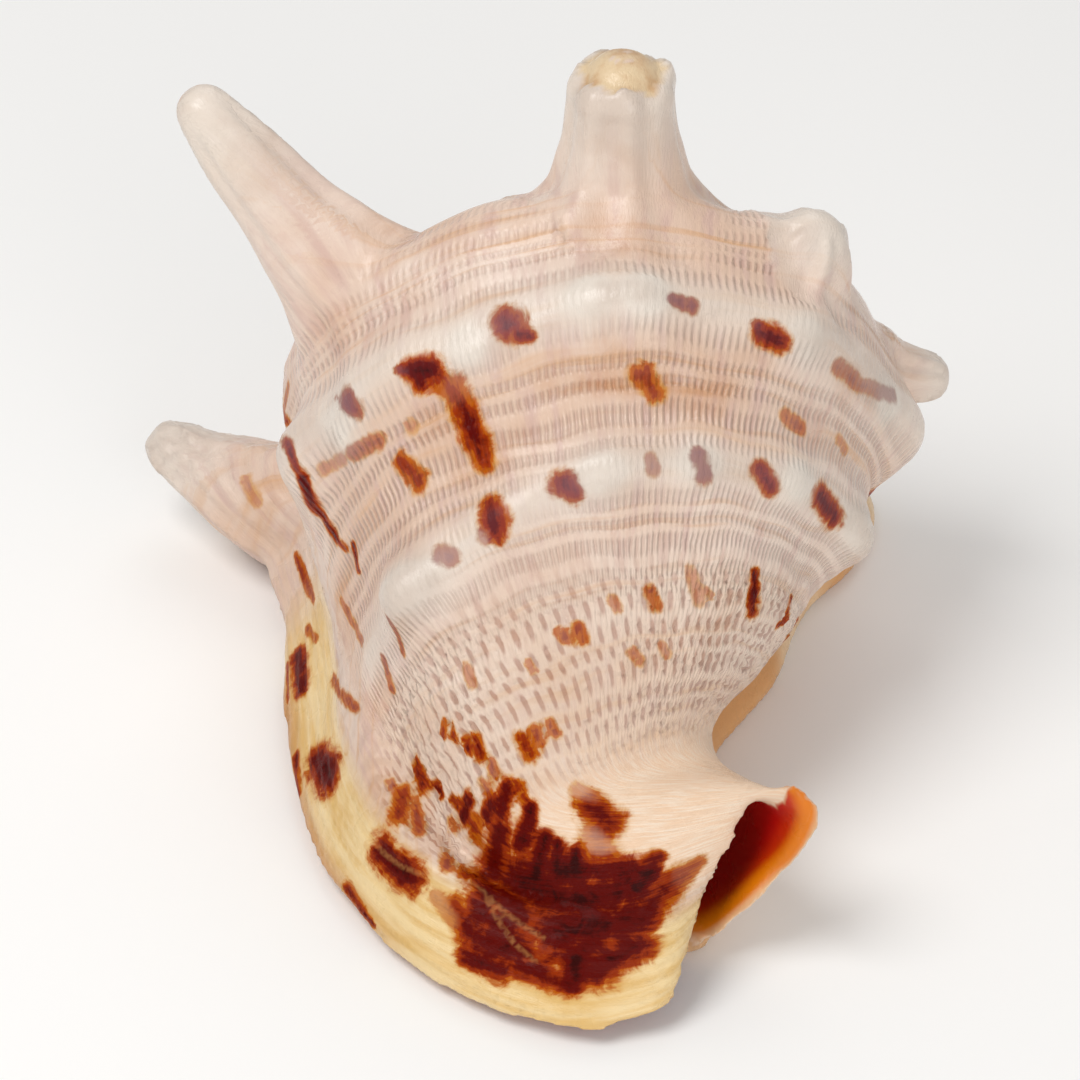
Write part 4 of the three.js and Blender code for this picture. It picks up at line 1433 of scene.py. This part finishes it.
# the stains are duller than the ground, so the sheen drops on them
shader = add_node(
    net,
    "ShaderNodeBsdfPrincipled",
    {
        "Base Color": coloured,
        "Roughness": remap(cloud(place_of, 90), 0.3, 0.7, 0.22, 0.36),
        "IOR": IOR,
        "Specular IOR Level": remap(cover, 0.0, 1.0, 0.35, 0.06),
        "Coat Weight": remap(cover, 0.0, 1.0, 0.12, 0.03),
        "Coat Roughness": COAT_ROUGHNESS,
        "Normal": bump.outputs["Normal"],
    },
)
add_node(net, "ShaderNodeOutputMaterial", {"Surface": shader.outputs["BSDF"]})
mesh.materials.clear()
mesh.materials.append(glaze)
print("glaze nodes:", len(net.nodes))

# %% [markdown]
# ## Floor, light and camera
# The shell is seen from above its canal end, on a plain pale floor. Three large soft lights and a
# bright sky keep the shadows open, as in a light tent.

# %% Floor
FLOOR_SIZE, FLOOR_DROP = 6, 0.0002
bpy.context.scene.view_settings.view_transform = "Standard"
deselect_all()
bpy.ops.mesh.primitive_plane_add(size=FLOOR_SIZE, location=(0, 0, -FLOOR_DROP))
floor = bpy.context.object
floor.name = "floor"
floor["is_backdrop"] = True
paper = bpy.data.materials.new("white_paper")
paper.use_nodes = True
paper_shader = paper.node_tree.nodes["Principled BSDF"]
paper_shader.inputs["Base Color"].default_value = linear("#FBFAF8")
paper_shader.inputs["Roughness"].default_value = 0.9
floor.data.materials.append(paper)
print("the floor is", FLOOR_SIZE, "m wide")

# %% Lights
# name, place, width in metres, power in watts
LAMPS = [
    ("key", (-0.45, -0.2, 0.95), 0.6, 5.4),
    ("fill", (0.4, -0.9, 0.45), 0.9, 3.8),
    ("back", (0.1, 0.85, 0.9), 0.8, 1.8),
]
SKY_STRENGTH = 0.4
aim = Vector((0, 0, 0.05))
for name, place, width, power in LAMPS:
    deselect_all()
    bpy.ops.object.light_add(type="AREA", location=place)
    lamp = bpy.context.object
    lamp.name = name
    lamp.data.shape = "DISK"
    lamp.data.size = width
    lamp.data.energy = power
    lamp.rotation_euler = (aim - Vector(place)).to_track_quat("-Z", "Y").to_euler()

world = bpy.data.worlds.new("light_tent")
bpy.context.scene.world = world
world.use_nodes = True
sky = world.node_tree.nodes["Background"]
sky.inputs["Color"].default_value = (1, 1, 1, 1)
sky.inputs["Strength"].default_value = SKY_STRENGTH
print(len(LAMPS), "lamps and a white sky")

# %% Camera
deselect_all()
bpy.ops.object.camera_add(location=EYE, rotation=VIEW.to_euler())
camera = bpy.context.object
camera.data.sensor_width = SENSOR
camera.data.lens = LENS
camera.data.clip_start = 0.05
bpy.context.scene.camera = camera
print("the camera looks from", [round(c, 3) for c in EYE])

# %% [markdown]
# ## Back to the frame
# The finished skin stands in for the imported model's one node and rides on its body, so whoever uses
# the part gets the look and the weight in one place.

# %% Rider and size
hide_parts("shell")
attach(shell, "root")
size = {"cad": [list(c) for c in cad_box], "visual": [list(c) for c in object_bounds()]}
print("visual box", size["visual"])
